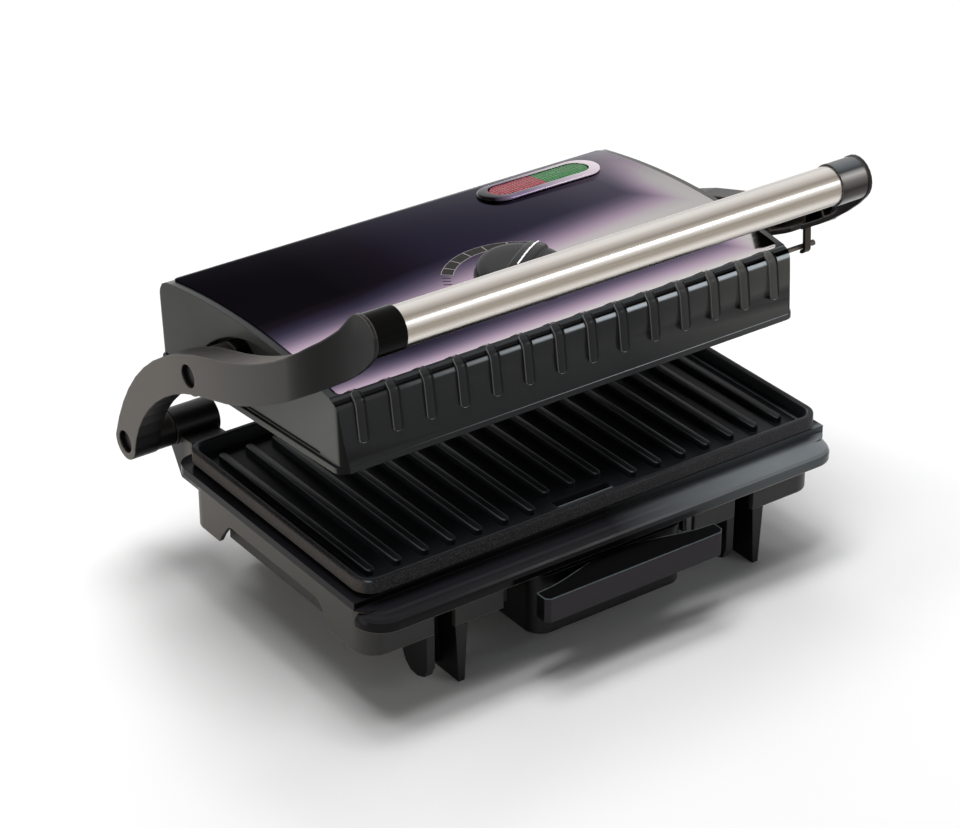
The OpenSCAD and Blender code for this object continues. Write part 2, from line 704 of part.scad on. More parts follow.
// Hook of flat steel in the right arm that carries the stop pin
module stop_hook() color("#55585b") at_lid() translate([0, stop_y, stop_z]) {
  along_x(hook_x[0], hook_x[1]) {
    difference() {
      circle(r = hook_in_r + hook_t);
      circle(r = hook_in_r);
      translate([-9, 0]) square([18, 18]);
      translate([1, -4]) rotate(20) square([10, 10]);
    }
    translate([-hook_in_r - hook_t, -0.1]) square([hook_t, hook_up + 0.1]);
  }
  translate([hook_x[0], -hook_in_r - hook_t, hook_up - 5.5])
    cube([arm_out - arm_wall - hook_x[0], hook_t, 5.5]);
}

// Lid housing
function lid_top(y) = crown(y, cover_t);
lid_arc = [for (i = [0 : 10]) let (y = cover_front + (cover_back - cover_front) * i / 10) [y, lid_top(y)]];
lid_outline = concat(
  [[-lid_front, -lid_drop], [-lid_top_front, lid_front_h], [cover_front - 0.2, lid_top(cover_front) - 0.6]],
  lid_arc,
  [[cover_back + 3.4, lid_top(cover_back) - 1.6], [lid_back - 3, 12.5], [lid_back, -lid_drop]]);
lid_hollow = concat(
  [[-lid_front + lid_wall, -lid_drop - cut], [-lid_top_front + lid_wall, lid_front_h - lid_wall]],
  [for (i = [0 : 8]) let (y = cover_front + 3 + (cover_back - cover_front - 6) * i / 8)
    [y, lid_top(y) - lid_wall]],
  [[lid_back - 3 - lid_wall, 12.5], [lid_back - lid_wall, -lid_drop - cut]]);
pocket_r = 71;
pocket_c = [-24, -55.3];
pocket_y = [-46, -14, 23];
pocket_foot = -12;
pocket_slope = 22.5;
hem_h = 3.1;
hem_t = 1.2;
groove_z = [-16.4, -15.2];
groove_t = 0.8;

// Arched recess beside an arm, its outline moved out by a margin
module pocket_outline(grow = 0) intersection() {
  translate(pocket_c) circle(r = pocket_r + grow);
  polygon([[pocket_y[0] - grow, pocket_foot + pocket_slope - grow], [pocket_y[1] - grow, pocket_foot - grow],
    [pocket_y[2] + grow, pocket_foot - grow], [pocket_y[2] + grow, 40], [pocket_y[0] - grow, 40]]);
}

module on_front() translate([0, -lid_front, -lid_drop]) rotate([-front_lean, 0, 0]) children();

module ridge(x) on_front() translate([x, 0, 0]) rotate([90, 0, 0]) {
  z0 = ridge_foot + ridge_w / 2;
  z1 = (lid_front_h + lid_drop) / cos(front_lean) - ridge_w / 2;
  for (s = [[ridge_w, 0.8], [ridge_w - 1.6, 1.4]]) translate([0, 0, -0.5]) {
    translate([-s[0] / 2, z0]) cube([s[0], z1 - z0, 0.5 + s[1]]);
    for (z = [z0, z1]) translate([0, z]) cylinder(r = s[0] / 2, h = 0.5 + s[1]);
  }
}

plate_boss = [103, 42];

module lid_housing() color("#3d3b3c") at_lid() difference() {
  union() {
    intersection() {
      difference() {
        along_x(-lid_w / 2, lid_w / 2) polygon(lid_outline);
        difference() {
          along_x(-lid_w / 2 + lid_wall, lid_w / 2 - lid_wall) polygon(lid_hollow);
          both() translate([pocket_floor - lid_wall, 0, 0]) along_x(0, 20) pocket_outline(lid_wall);
        }
      }
      translate([0, lid_mid, 0]) slab(lid_w + 2, lid_front + lid_back + 4, 5, -40, 60);
    }
    difference() {
      translate([0, lid_mid + 0.2, 0])
        slab(lid_w + 2 * hem_t, lid_front + lid_back + hem_t + 0.2, 6, -lid_drop, -lid_drop + hem_h);
      translate([0, lid_mid, 0]) slab(lid_w - 2 * lid_wall, lid_front + lid_back - 2 * lid_wall, 4,
        -lid_drop - cut, -lid_drop + hem_h + cut);
    }
    for (j = [1 : ridge_count]) ridge((j - (ridge_count + 1) / 2) * ridge_pitch);
    for (sx = [-1, 1], y = [lid_mid - plate_boss[1], lid_mid + plate_boss[1]])
      translate([sx * plate_boss[0], y, upper_boss_z]) cylinder(r = 4, h = lid_top(y) - upper_boss_z - 1);
  }
  both() difference() {
    along_x(pocket_floor, lid_w / 2 + cut) pocket_outline();
    rod_x(pocket_floor - cut, lid_w / 2, boss_r);
  }
  both() rod_x(pocket_floor - lid_wall - 2, lid_w / 2 + cut, hole_r);
  both() along_x(lid_w / 2 - groove_t, lid_w / 2 + cut)
    polygon([[-lid_front + 16, groove_z[0]], [lid_back - 4, groove_z[0]], [lid_back - 4, groove_z[1]],
      [-lid_front + 18, groove_z[1]]]);
  for (sx = [-1, 1], y = [lid_mid - plate_boss[1], lid_mid + plate_boss[1]])
    translate([sx * plate_boss[0], y, upper_boss_z - cut]) cylinder(r = 1.6, h = 12);
  on_crown(lights_x, lights_y) translate([0, 0, -8]) linear_extrude(20) light_window(0.3);
  on_crown(0, -knob_fwd) translate([0, 0, -12]) cylinder(r = 7, h = 24);
  translate([0, stop_y, stop_z]) rod_x(lid_w / 2 - 8, lid_w / 2 + cut, stop_r);
}

module stadium(l, w) {
  square([l - w, w], center = true);
  for (s = [-1, 1]) translate([s * (l - w) / 2, 0]) circle(r = w / 2);
}

window_l = bezel_l - 12.5;
window_w = bezel_w - 7.5;
module light_window(g) stadium(window_l + 2 * g, window_w + 2 * g);

// Cover of sheet steel on the housing
module lid_cover() color("#8f8a98") at_lid() difference() {
  intersection() {
    along_x(-cover_w / 2, cover_w / 2) polygon(concat(
      [for (i = [0 : 24]) let (y = cover_front + (cover_back - cover_front) * i / 24) [y, crown(y)]],
      [for (i = [24 : -1 : 0]) let (y = cover_front + (cover_back - cover_front) * i / 24)
        [y, lid_top(y) + 0.02]]));
    translate([0, (cover_front + cover_back) / 2, 0])
      linear_extrude(60) round_box(cover_w, cover_back - cover_front, 2.5);
  }
  on_crown(lights_x, lights_y) translate([0, 0, -8]) linear_extrude(20) light_window(0.3);
  on_crown(0, -knob_fwd) translate([0, 0, -12]) cylinder(r = 7, h = 24);
}

module light_bezel() color("#d9d8dc") at_lid() on_crown(lights_x, lights_y) difference() {
  translate([0, 0, 0.1]) linear_extrude(1.6) stadium(bezel_l, bezel_w);
  translate([0, 0, -4]) linear_extrude(20) light_window(-0.4);
}

module lens(sx) difference() {
  translate([0, 0, -3]) linear_extrude(4.2) stadium(window_l - 1, window_w - 1);
  translate([sx > 0 ? seat - bezel_l : -seat, -bezel_w, -10]) cube([bezel_l, 2 * bezel_w, 20]);
}

module red_lens() color([0.75, 0.08, 0.08, 0.8]) at_lid() on_crown(lights_x, lights_y) lens(-1);
module green_lens() color([0.05, 0.6, 0.2, 0.8]) at_lid() on_crown(lights_x, lights_y) lens(1);

module lamp_holder() color("#1c1d1e") at_lid() on_crown(lights_x, lights_y) difference() {
  translate([0, 0, -12]) linear_extrude(12 - 3.1) stadium(window_l + 8, window_w + 8);
  translate([0, 0, -10]) linear_extrude(12) stadium(window_l - 4, window_w - 4);
  translate([0, 0, -lid_wall - cover_t - 0.4]) linear_extrude(12)
    square([2 * bezel_l, 2 * bezel_l], center = true);
}

module lamps() color("#e8e0d0") at_lid() on_crown(lights_x, lights_y) for (s = [-1, 1])
  translate([s * 13, 0, -7.6]) {
    rod_x(-6, 5, 2.3);
    translate([5, 0, 0]) sphere(r = 2.3, $fn = 24);
  }

// Steel pin at the front corner of the lid, and the pivot pins of the lid
module stop_pin() color("#b4b7bb") at_lid() translate([0, stop_y, stop_z]) {
  rod_x(lid_w / 2 - 8, stop_tip, stop_r);
  rod_x(stop_tip - 1.2, stop_tip, stop_r + 0.2);
}

module pivot_pins() color("#b4b7bb") at_lid() both() {
  rod_x(pocket_floor - lid_wall - 1, arm_out - recess_t + 0.2, pin_r);
  rod_x(arm_out - recess_t + 0.15, arm_out - recess_t + 0.15 + pin_head_t, pin_head_r);
}

// Upper plate, with its ribs downwards
upper_boss_z = upper_back_z + 2;

module at_upper() translate([0, lid_mid, 0]) children();

module upper_plate() color("#26282b") at_lid() at_upper() difference() {
  union() {
    slab(upper_plate_w, upper_plate_d, 6, upper_valley_z, upper_back_z);
    for (i = [1 : rib_count]) rib((i - (rib_count + 1) / 2) * (rib_pitch - 0.6), -upper_plate_d / 2 + 8,
      upper_plate_d / 2 - 8, upper_valley_z, upper_rib_h, rib_w, -1);
    for (sx = [-1, 1], sy = [-1, 1]) translate([sx * plate_boss[0], sy * plate_boss[1], upper_back_z - 0.1])
      cylinder(r = 4, h = 2.1);
  }
  for (sx = [-1, 1], sy = [-1, 1])
    translate([sx * plate_boss[0], sy * plate_boss[1], upper_valley_z - 5]) {
      cylinder(r = 1.8, h = 20);
      cylinder(r = 3.2, h = 6.4);
    }
}

module upper_plate_screws() color("#c4c7ca") at_lid() at_upper() for (sx = [-1, 1], sy = [-1, 1])
  translate([sx * plate_boss[0], sy * plate_boss[1], upper_valley_z + 1.3]) {
    translate([0, 0, -2.2]) cylinder(r = 3, h = 2.2);
    translate([0, 0, -0.1]) cylinder(r = 1.5, h = 12);
  }

module upper_heater() color("#8a8f94") at_lid() at_upper() heater_loop(upper_back_z + heater_r + seat);

upper_pan_w = 2 * (pocket_floor - lid_wall - 1);
pan_top = upper_back_z + 9;

module upper_reflector() color("#b9bcc0") at_lid() at_upper() difference() {
  slab(upper_pan_w, upper_plate_d - 4, 5, upper_back_z, pan_top);
  slab(upper_pan_w - 2 * pan_t, upper_plate_d - 4 - 2 * pan_t, 4.2, upper_back_z - cut, pan_top - pan_t);
  for (sx = [-1, 1], sy = [-1, 1]) translate([sx * plate_boss[0], sy * plate_boss[1], upper_back_z])
    cylinder(r = 4.3, h = 12);
}

// Thermostat under the housing, and the fuse on the reflector
stem_r = 3;

module thermostat() color("#c8c0b0") at_lid() on_crown(0, -knob_fwd) difference() {
  union() {
    translate([0, 0, -19]) cylinder(r = 12, h = 18.5 - cover_t - lid_wall);
    translate([0, 0, -8]) cylinder(r = 6.6, h = 8.6);
  }
  translate([0, 0, -9]) cylinder(r = stem_r + run_gap, h = 20);
}

module thermal_fuse() color("#d8d4c8") at_lid() at_upper() translate([-40, 0, pan_top]) {
  translate([0, -8, 0]) cube([14, 16, 3]);
  translate([7, -8, 4.5]) rotate([-90, 0, 0]) cylinder(r = 2, h = 16);
}

// Thermostat knob: skirt, body and grip blade, on a stem
module dial_knob() color("#232325") at_lid() on_crown(0, -knob_fwd) {
  translate([0, 0, 1]) cylinder(r = skirt_r, h = 1.6);
  translate([0, 0, 2.5]) cylinder(r = skirt_r - 2.6, h = knob_h - 2.5);
  translate([0, 0, -8.4]) cylinder(r = stem_r, h = 10);
  rotate([0, 0, pointer_at]) intersection() {
    translate([-skirt_r, -4, knob_h - 0.1]) cube([2 * skirt_r, 8, blade_h - knob_h]);
    translate([0, 0, knob_h - 1]) cylinder(r = skirt_r - 2.8, h = blade_h);
  }
}

module knob_pointer() color("#e8e8e8") at_lid() on_crown(0, -knob_fwd) rotate([0, 0, pointer_at])
  translate([2, -0.5, blade_h - 0.1]) cube([skirt_r - 6, 1, 0.4]);

base_shell();
front_trim();
base_cover();
base_screws();
front_leg_left();
front_leg_right();
rear_leg_left();
rear_leg_right();
tray_rails();
lower_plate();
lower_heater();
lower_reflector();
lower_plate_screws();
cord_inlet();
drip_tray();
tray_handle();
hinge_pins();
arm_left();
arm_right();
handle_tube();
handle_rod();
collar_left();
collar_right();
stop_hook();
lid_housing();
lid_cover();
stop_pin();
pivot_pins();
upper_plate();
upper_heater();
upper_reflector();
upper_plate_screws();
thermostat();
thermal_fuse();
lamp_holder();
lamps();
light_bezel();
red_lens();
green_lens();
dial_knob();
knob_pointer();
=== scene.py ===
"""Looks of an electric contact grill with a floating lid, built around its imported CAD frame."""

import math

import bmesh
import bpy
from mathutils import Matrix, Vector


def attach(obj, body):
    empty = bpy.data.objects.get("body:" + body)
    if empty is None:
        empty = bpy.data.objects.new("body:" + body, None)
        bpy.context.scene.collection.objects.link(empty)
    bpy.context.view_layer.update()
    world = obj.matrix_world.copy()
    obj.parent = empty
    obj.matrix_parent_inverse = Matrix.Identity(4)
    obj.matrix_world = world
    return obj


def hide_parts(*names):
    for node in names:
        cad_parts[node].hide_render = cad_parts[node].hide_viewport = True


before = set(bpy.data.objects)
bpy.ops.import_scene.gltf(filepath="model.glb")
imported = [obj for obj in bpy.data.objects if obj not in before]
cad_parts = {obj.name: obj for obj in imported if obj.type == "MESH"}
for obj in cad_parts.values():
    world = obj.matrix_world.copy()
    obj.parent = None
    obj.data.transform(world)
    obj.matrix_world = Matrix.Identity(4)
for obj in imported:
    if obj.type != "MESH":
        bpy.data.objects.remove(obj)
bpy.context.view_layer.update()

# Camera. The view of a product photograph from the front left and above, through a long lens.
# The object's own measures were solved together with this view.
camera_data = bpy.data.cameras.new("camera")
camera_data.lens = 111.87
camera_data.sensor_width = 36
camera_data.sensor_fit = "HORIZONTAL"
look_down, look_right = 29.269, 35.675
camera = bpy.data.objects.new("camera", camera_data)
bpy.context.scene.collection.objects.link(camera)
camera.location = (-0.6665, -0.9116, 0.7041)
camera.rotation_euler = (math.radians(90 - look_down), 0, math.radians(-look_right))
bpy.context.scene.camera = camera
bpy.context.scene.view_settings.view_transform = "Standard"

# Studio. A pale floor that glows faintly far out, four wide soft lamps, a small one for glints and
# a white sky. Metal and glass mirror the sky as the camera sees it, while its light on the object
# is dimmer, so that nothing burns out.
sky_light = 0.07
pale_from, pale_to, far_glow = 0.45, 1.8, 0.85


def paint(red, green, blue):
    """Screen values from 0 to 255, as the light that they stand for"""
    return tuple(((c / 255 + 0.055) / 1.055) ** 2.4 if c > 10 else c / 255 / 12.92
                 for c in (red, green, blue))


class Value:
    """A socket of a finish. Arithmetic on it adds Math nodes."""

    def __init__(self, finish, socket):
        self.finish = finish
        self.socket = socket

    def __add__(self, other):
        return self.finish.maths("ADD", self, other)

    def __sub__(self, other):
        return self.finish.maths("SUBTRACT", self, other)

    def __rsub__(self, other):
        return self.finish.maths("SUBTRACT", other, self)

    def __mul__(self, other):
        return self.finish.maths("MULTIPLY", self, other)

    __radd__ = __add__
    __rmul__ = __mul__


class Finish:
    """A material around one Principled shader. An edge in millimetres rounds the shading of sharp edges."""

    def __init__(self, name, colour, roughness, metallic=0.0, specular=0.5, edge=0.0):
        self.material = bpy.data.materials.new(name)
        self.material.use_nodes = True
        self.tree = self.material.node_tree
        self.shader = self.tree.nodes["Principled BSDF"]
        self.edge = self.node("ShaderNodeBevel", {"samples": 6}, {"Radius": edge / 1000}) if edge else None
        for socket, value in (("Base Color", colour), ("Roughness", roughness), ("Metallic", metallic),
                              ("Specular IOR Level", specular), ("Normal", self.edge)):
            self.put(socket, value)

    def plug(self, socket, value):
        if isinstance(value, Value):
            self.tree.links.new(value.socket, socket)
        elif value is not None:
            socket.default_value = (*value, 1) if socket.type == "RGBA" and len(value) == 3 else value

    def put(self, name, value):
        self.plug(self.shader.inputs[name], value)

    def node(self, kind, settings=None, inputs=None, output=0):
        made = self.tree.nodes.new(kind)
        for key, value in (settings or {}).items():
            if key == "stops":
                ramp = made.color_ramp
                while len(ramp.elements) < len(value):
                    ramp.elements.new(0.5)
                for element, (place, colour) in zip(ramp.elements, value):
                    element.position = place
                    element.color = (*colour, 1)
            else:
                setattr(made, key, value)
        for key, value in (inputs or {}).items():
            self.plug(made.inputs[key], value)
        return Value(self, made.outputs[output])

    def maths(self, operation, first, second=0.0):
        return self.node("ShaderNodeMath", {"operation": operation}, {0: first, 1: second})

    def place(self):
        return self.node("ShaderNodeTexCoord", output="Object")

    def axis(self, letter, vector=None):
        return self.node("ShaderNodeSeparateXYZ", None, {0: vector or self.place()}, output=letter)

    def normal(self, letter):
        """One part of the direction in which the surface faces"""
        return self.axis(letter, self.node("ShaderNodeTexCoord", output="Normal"))

    def at_edge(self, side=1):
        """1 along the sharp edges that look up, or down for a side of -1, and 0 elsewhere"""
        plain = self.node("ShaderNodeNewGeometry", output="True Normal")
        rounded = self.node("ShaderNodeVectorMath", {"operation": "DOT_PRODUCT"}, {0: self.edge, 1: plain},
                            "Value")
        return self.band(rounded, 0.985, 0.9) * self.band(self.axis("Z", self.edge) * side, 0.15, 0.4)

    def noise(self, scale, detail=3.0, stretch=(1, 1, 1), vector=None):
        """Soft spots, scale of them to the metre, drawn out where the stretch is small"""
        spread = self.node("ShaderNodeMapping", None, {"Vector": vector or self.place(), "Scale": stretch})
        return self.node("ShaderNodeTexNoise", None, {"Vector": spread, "Scale": scale, "Detail": detail})

    def band(self, value, low, high, to_low=0.0, to_high=1.0):
        """Value from low to high, read as to_low to to_high"""
        return self.node("ShaderNodeMapRange", None, {0: value, 1: low, 2: high, 3: to_low, 4: to_high})

    def blend(self, factor, first, second):
        return self.node("ShaderNodeMix", {"data_type": "RGBA"}, {0: factor, 6: first, 7: second}, output=2)

    def bump(self, height, depth):
        """Relief of the given depth in millimetres"""
        inputs = {"Height": height, "Distance": depth / 1000, "Normal": self.edge}
        self.put("Normal", self.node("ShaderNodeBump", None, inputs))

    def speckle(self, base, change, scale, depth, detail=4.0, stretch=(1, 1, 1)):
        """Moulded or coated grain: roughness and relief that vary together"""
        grain = self.noise(scale, detail, stretch)
        self.put("Roughness", self.band(grain, 0.3, 0.7, base - change, base + change))
        self.bump(grain, depth)


world = bpy.data.worlds.new("studio")
bpy.context.scene.world = world
world.use_nodes = True
sky = world.node_tree
sky.nodes.clear()
rays = sky.nodes.new("ShaderNodeLightPath")
white = None
for kind in ("Is Camera Ray", "Is Glossy Ray", "Is Transmission Ray"):
    pick = sky.nodes.new("ShaderNodeMath")
    pick.operation = "MAXIMUM"
    sky.links.new(rays.outputs[kind], pick.inputs[0])
    if white:
        sky.links.new(white, pick.inputs[1])
    else:
        pick.inputs[1].default_value = 0
    white = pick.outputs[0]
level = sky.nodes.new("ShaderNodeMapRange")
level.inputs[3].default_value = sky_light
sky.links.new(white, level.inputs[0])
backdrop = sky.nodes.new("ShaderNodeBackground")
sky.links.new(level.outputs[0], backdrop.inputs["Strength"])
backdrop.inputs["Color"].default_value = (1, 1, 1, 1)
sky.links.new(backdrop.outputs[0], sky.nodes.new("ShaderNodeOutputWorld").inputs[0])


def softbox(name, place, size, power, tint=(1, 1, 1), mirrored=True):
    lamp = bpy.data.lights.new(name, "AREA")
    lamp.shape = "RECTANGLE"
    lamp.size, lamp.size_y = size
    lamp.energy = power
    lamp.color = tint
    made = bpy.data.objects.new(name, lamp)
    bpy.context.scene.collection.objects.link(made)
    made.location = place
    made.visible_glossy = mirrored
    made.rotation_euler = (Vector((0, 0, 0.1)) - made.location).to_track_quat("-Z", "Y").to_euler()


softbox("top_light", (-0.05, 0.1, 1.6), (1.0, 0.8), 27, mirrored=False)
softbox("left_light", (-1.7, 0.3, 0.6), (1.1, 0.8), 4.4, (1.0, 0.97, 0.93))
softbox("back_light", (0.9, 1.5, 1.5), (1.2, 0.8), 12, mirrored=False)
softbox("front_light", (0.7, -1.8, 0.8), (1.0, 0.7), 1.9, (0.94, 0.97, 1.0), mirrored=False)
softbox("glint_light", (0.8, -1.05, 0.85), (0.22, 0.22), 0.8)

floor_form = bmesh.new()
bmesh.ops.create_circle(floor_form, cap_ends=True, segments=96, radius=6)
floor_mesh = bpy.data.meshes.new("floor")
floor_form.to_mesh(floor_mesh)
floor_form.free()
ground = Finish("floor", (0.88, 0.88, 0.88), 0.6)
reach = ground.node("ShaderNodeVectorMath", {"operation": "LENGTH"}, {0: ground.place()}, "Value")
ground.put("Emission Color", ground.blend(ground.band(reach, pale_from, pale_to), (0, 0, 0), (far_glow,) * 3))
ground.put("Emission Strength", 1.0)
floor_mesh.materials.append(ground.material)
floor = bpy.data.objects.new("floor", floor_mesh)
bpy.context.scene.collection.objects.link(floor)

# Base housing, injection moulded in black ABS, with a spark-eroded satin skin. It is one shell
# with a skirt, a deck under the plate and two barrels at the rear for the hinge.


def dress(finish, *nodes):
    """Gives solids of the CAD frame their finish"""
    for node in nodes:
        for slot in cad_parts[node].material_slots:
            slot.material = finish.material


housing = Finish("housing_black", paint(34, 34, 34), 0.4, specular=0.26, edge=0.8)
housing.speckle(0.4, 0.06, 2600, 0.012)
scuffs = housing.noise(38, 5)
housing_skin_and_light = housing.blend(housing.band(scuffs, 0.35, 0.65), paint(33, 33, 33), paint(40, 39, 38))
# Painted light: faces that look left are painted paler, more so towards the rear.
lit_left_side = housing.band(housing.normal("X") * -1, 0.3, 0.9)
to_rear = housing.band(housing.axis("Y"), -0.1, 0.06)
housing_skin_and_light = housing.blend(lit_left_side, housing_skin_and_light, housing.blend(to_rear, paint(50, 49, 45), paint(80, 75, 67)))
# Painted shade: the hinge barrels at the rear are painted nearly black.
hinge_shade = housing.band(housing.axis("Y"), 0.074, 0.079)
housing_skin_and_light = housing.blend(hinge_shade, housing_skin_and_light, paint(13, 11, 10))
# Painted highlight: a pale line along the sharp edges that look down.
housing.put("Base Color", housing.blend(housing.at_edge(-1) * 0.6, housing_skin_and_light, paint(124, 118, 108)))
dress(housing, "base_shell")

# Legs, moulded in the same black plastic. Each is a plate and a web with a fin that reaches the
# table, and joins the housing at its underside.
leg_skin = Finish("leg_black", paint(24, 22, 22), 0.45, specular=0.14, edge=0.8)
leg_skin.speckle(0.45, 0.06, 2600, 0.012)
# Painted light: the legs' front faces are painted paler, their other faces dark with painted shade.
lit_leg_front = leg_skin.band(leg_skin.normal("Y") * -1, 0.5, 0.9)
lit_leg_front = lit_leg_front * leg_skin.band(leg_skin.axis("Y"), -0.067, -0.069)
leg_skin.put("Base Color", leg_skin.blend(lit_leg_front, paint(13, 11, 11), paint(44, 42, 44)))
dress(leg_skin, "front_leg_left", "front_leg_right", "rear_leg_left", "rear_leg_right")

# Bottom covers, flat black mouldings beside the drip tray, which close the housing from below.
# Screws of zinc plated steel hold them, as others of the kind hold both grill plates.
cellar = Finish("cover_black", paint(42, 40, 37), 0.55, specular=0.3, edge=0.5)
cellar.speckle(0.55, 0.05, 1800, 0.02)
dress(cellar, "base_cover")

zinc = Finish("screw_steel", paint(176, 178, 180), 0.3, metallic=1.0, edge=0.3)
zinc.speckle(0.32, 0.08, 3000, 0.004)
dress(zinc, "base_screws", "lower_plate_screws", "upper_plate_screws")

# Grommet for the mains lead, moulded in soft black rubber and pushed into the rear wall of the
# housing.
rubber = Finish("rubber", paint(26, 26, 27), 0.7, edge=0.4)
rubber.speckle(0.7, 0.05, 2400, 0.02)
dress(rubber, "cord_inlet")

# Grill plates, die cast in aluminium and coated against sticking. The cast rim is left rough on
# its outer wall, the ribs are rounded, and fat drains through a slot ahead of the shorter ribs.
plate_w, plate_d, plate_y, plate_corner = 241.4, 139.6, -2.4, 9
rim_w, rim_z, valley_z, band_z, plate_foot = 3, 65.1, 58.3, 59.2, 54.8
rib_count, rib_pitch, rib_w, rib_top, rib_round = 17, 13.5, 4.2, 61.3, 1.25
rib_start, short_rib_start = 13.4, 21.4
drain_y, drain_w, drain_half, drain_depth = 15.4 - plate_d / 2, 4, 14.5, 8


def round_off(form, edges, width, steps):
    bmesh.ops.bevel(form, geom=edges, offset=width, offset_type="OFFSET", affect="EDGES", segments=steps,
                    profile=0.5, material=-1, clamp_overlap=True)


def block(low, high, corner=0.0, rim=0.0, steps=6, rim_steps=3):
    """A closed block, its upright edges rounded by corner and the edges of its top by rim"""
    form = bmesh.new()
    verts = bmesh.ops.create_cube(form, size=1)["verts"]
    bmesh.ops.scale(form, vec=[h - l for l, h in zip(low, high)], verts=verts)
    bmesh.ops.translate(form, vec=[(h + l) / 2 for l, h in zip(low, high)], verts=verts)
    if corner:
        upright = [e for e in form.edges if abs(e.verts[0].co.z - e.verts[1].co.z) > 0.01]
        round_off(form, upright, corner, steps)
    if rim:
        topmost = [e for e in form.edges if all(v.co.z > high[2] - 0.001 for v in e.verts)]
        round_off(form, topmost, rim, rim_steps)
    return form


def join(form, *parts):
    for part in parts:
        scrap = bpy.data.meshes.new("scrap")
        part.to_mesh(scrap)
        part.free()
        form.from_mesh(scrap)
        bpy.data.meshes.remove(scrap)
    return form


def piece(name, form, finish, body, replaced=(), place=Matrix(), smooth=35):
    """Makes an object of a bmesh in millimetres, shaded smooth up to an angle, and lets it ride on a body"""
    bmesh.ops.transform(form, matrix=Matrix.Scale(0.001, 4) @ place, verts=form.verts)
    mesh = bpy.data.meshes.new(name)
    form.to_mesh(mesh)
    form.free()
    made = bpy.data.objects.new(name, mesh)
    bpy.context.scene.collection.objects.link(made)
    mesh.materials.append(finish.material)
    mesh.shade_smooth()
    mesh.set_sharp_from_angle(angle=math.radians(smooth))
    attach(made, body)
    if replaced:
        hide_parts(*replaced)
    return made


def creased(form, at_height, least=25):
    """The sharp edges of a form that lie at one height"""
    form.normal_update()
    return [e for e in form.edges if all(abs(v.co.z - at_height) < 0.01 for v in e.verts)
            and len(e.link_faces) == 2 and e.calc_face_angle() > math.radians(least)]


def flat_faces(form, height, up=1):
    form.normal_update()
    return [f for f in form.faces if f.normal.z * up > 0.99 and abs(f.calc_center_median().z - height) < 0.01]


lower = block((-plate_w / 2, -plate_d / 2, band_z), (plate_w / 2, plate_d / 2, rim_z), plate_corner, steps=8)
bmesh.ops.inset_region(lower, faces=flat_faces(lower, rim_z), thickness=rim_w, use_even_offset=True)
inner = [f for f in flat_faces(lower, rim_z) if len(f.verts) > 4]
sunk = bmesh.ops.extrude_discrete_faces(lower, faces=inner)["faces"]
bmesh.ops.translate(lower, vec=(0, 0, valley_z - rim_z), verts=sunk[0].verts)
bmesh.ops.scale(lower, vec=(0.993, 0.988, 1), verts=sunk[0].verts)
bmesh.ops.inset_region(lower, faces=flat_faces(lower, band_z, -1), thickness=rim_w + 1, use_even_offset=True)
soles = [f for f in flat_faces(lower, band_z, -1) if len(f.verts) > 4]
sole = bmesh.ops.extrude_discrete_faces(lower, faces=soles)["faces"]
bmesh.ops.translate(lower, vec=(0, 0, plate_foot - band_z), verts=sole[0].verts)
round_off(lower, creased(lower, rim_z), 0.9, 3)
round_off(lower, creased(lower, valley_z), 1.4, 4)
for x, y, normal in ((-drain_half, 0, (1, 0, 0)), (drain_half, 0, (1, 0, 0)),
                     (0, drain_y - drain_w / 2, (0, 1, 0)), (0, drain_y + drain_w / 2, (0, 1, 0))):
    valley = flat_faces(lower, valley_z)
    cut = valley + list({e for f in valley for e in f.edges}) + list({v for f in valley for v in f.verts})
    bmesh.ops.bisect_plane(lower, geom=cut, plane_co=(x, y, valley_z), plane_no=normal, dist=0.0001)
drain = [f for f in flat_faces(lower, valley_z) if abs(f.calc_center_median().x) < 5
         and abs(f.calc_center_median().y - drain_y) < 1]
pit = bmesh.ops.extrude_discrete_faces(lower, faces=drain)["faces"]
bmesh.ops.translate(lower, vec=(0, 0, -drain_depth), verts=pit[0].verts)
round_off(lower, creased(lower, valley_z, 60), 0.6, 2)
for i in range(rib_count):
    x = (i - (rib_count - 1) / 2) * rib_pitch
    front = short_rib_start if abs(x) < 20 else rib_start
    join(lower, block((x - rib_w / 2, front - plate_d / 2, valley_z - 0.5),
                      (x + rib_w / 2, plate_d / 2 - 9.8, rib_top), rib_w / 2 - 0.05, rib_round))

coated = Finish("grill_plate", paint(30, 32, 35), 0.3, specular=0.12, edge=0.3)
x_off = coated.maths("ABSOLUTE", coated.axis("X")) * (2000 / plate_w)
y_off = coated.maths("ABSOLUTE", coated.axis("Y") - plate_y / 1000) * (2000 / plate_d)
wall = coated.band(coated.maths("MAXIMUM", x_off, y_off), 0.975, 0.985)
cast = coated.noise(1500, 5)
fine = coated.noise(5200, 2)
sparkle = coated.band(coated.noise(6500, 0), 0.64, 0.7)
# Painted highlight on the ribs' edges that look left and up.
lit_side = coated.band(coated.normal("X") * -1, 0.2, 0.35) * coated.band(coated.normal("X") * -1, 0.8, 0.6)
lit_side = lit_side * coated.band(coated.normal("Z"), 0.25, 0.5)
grey = coated.blend(lit_side * (1 - wall), paint(30, 32, 35), paint(100, 106, 110))
# Painted highlight: a pale line along the front edge of the drain slot.
drain_front = (drain_y - drain_w / 2 + plate_y) / 1000
drain_highlight_line = coated.band(coated.maths("ABSOLUTE", coated.axis("Y") - drain_front), 0.0016, 0.0004)
in_drain = coated.band(coated.maths("ABSOLUTE", coated.axis("X")), 0.0150, 0.0135)
grey = coated.blend(drain_highlight_line * in_drain, grey, paint(140, 148, 152))
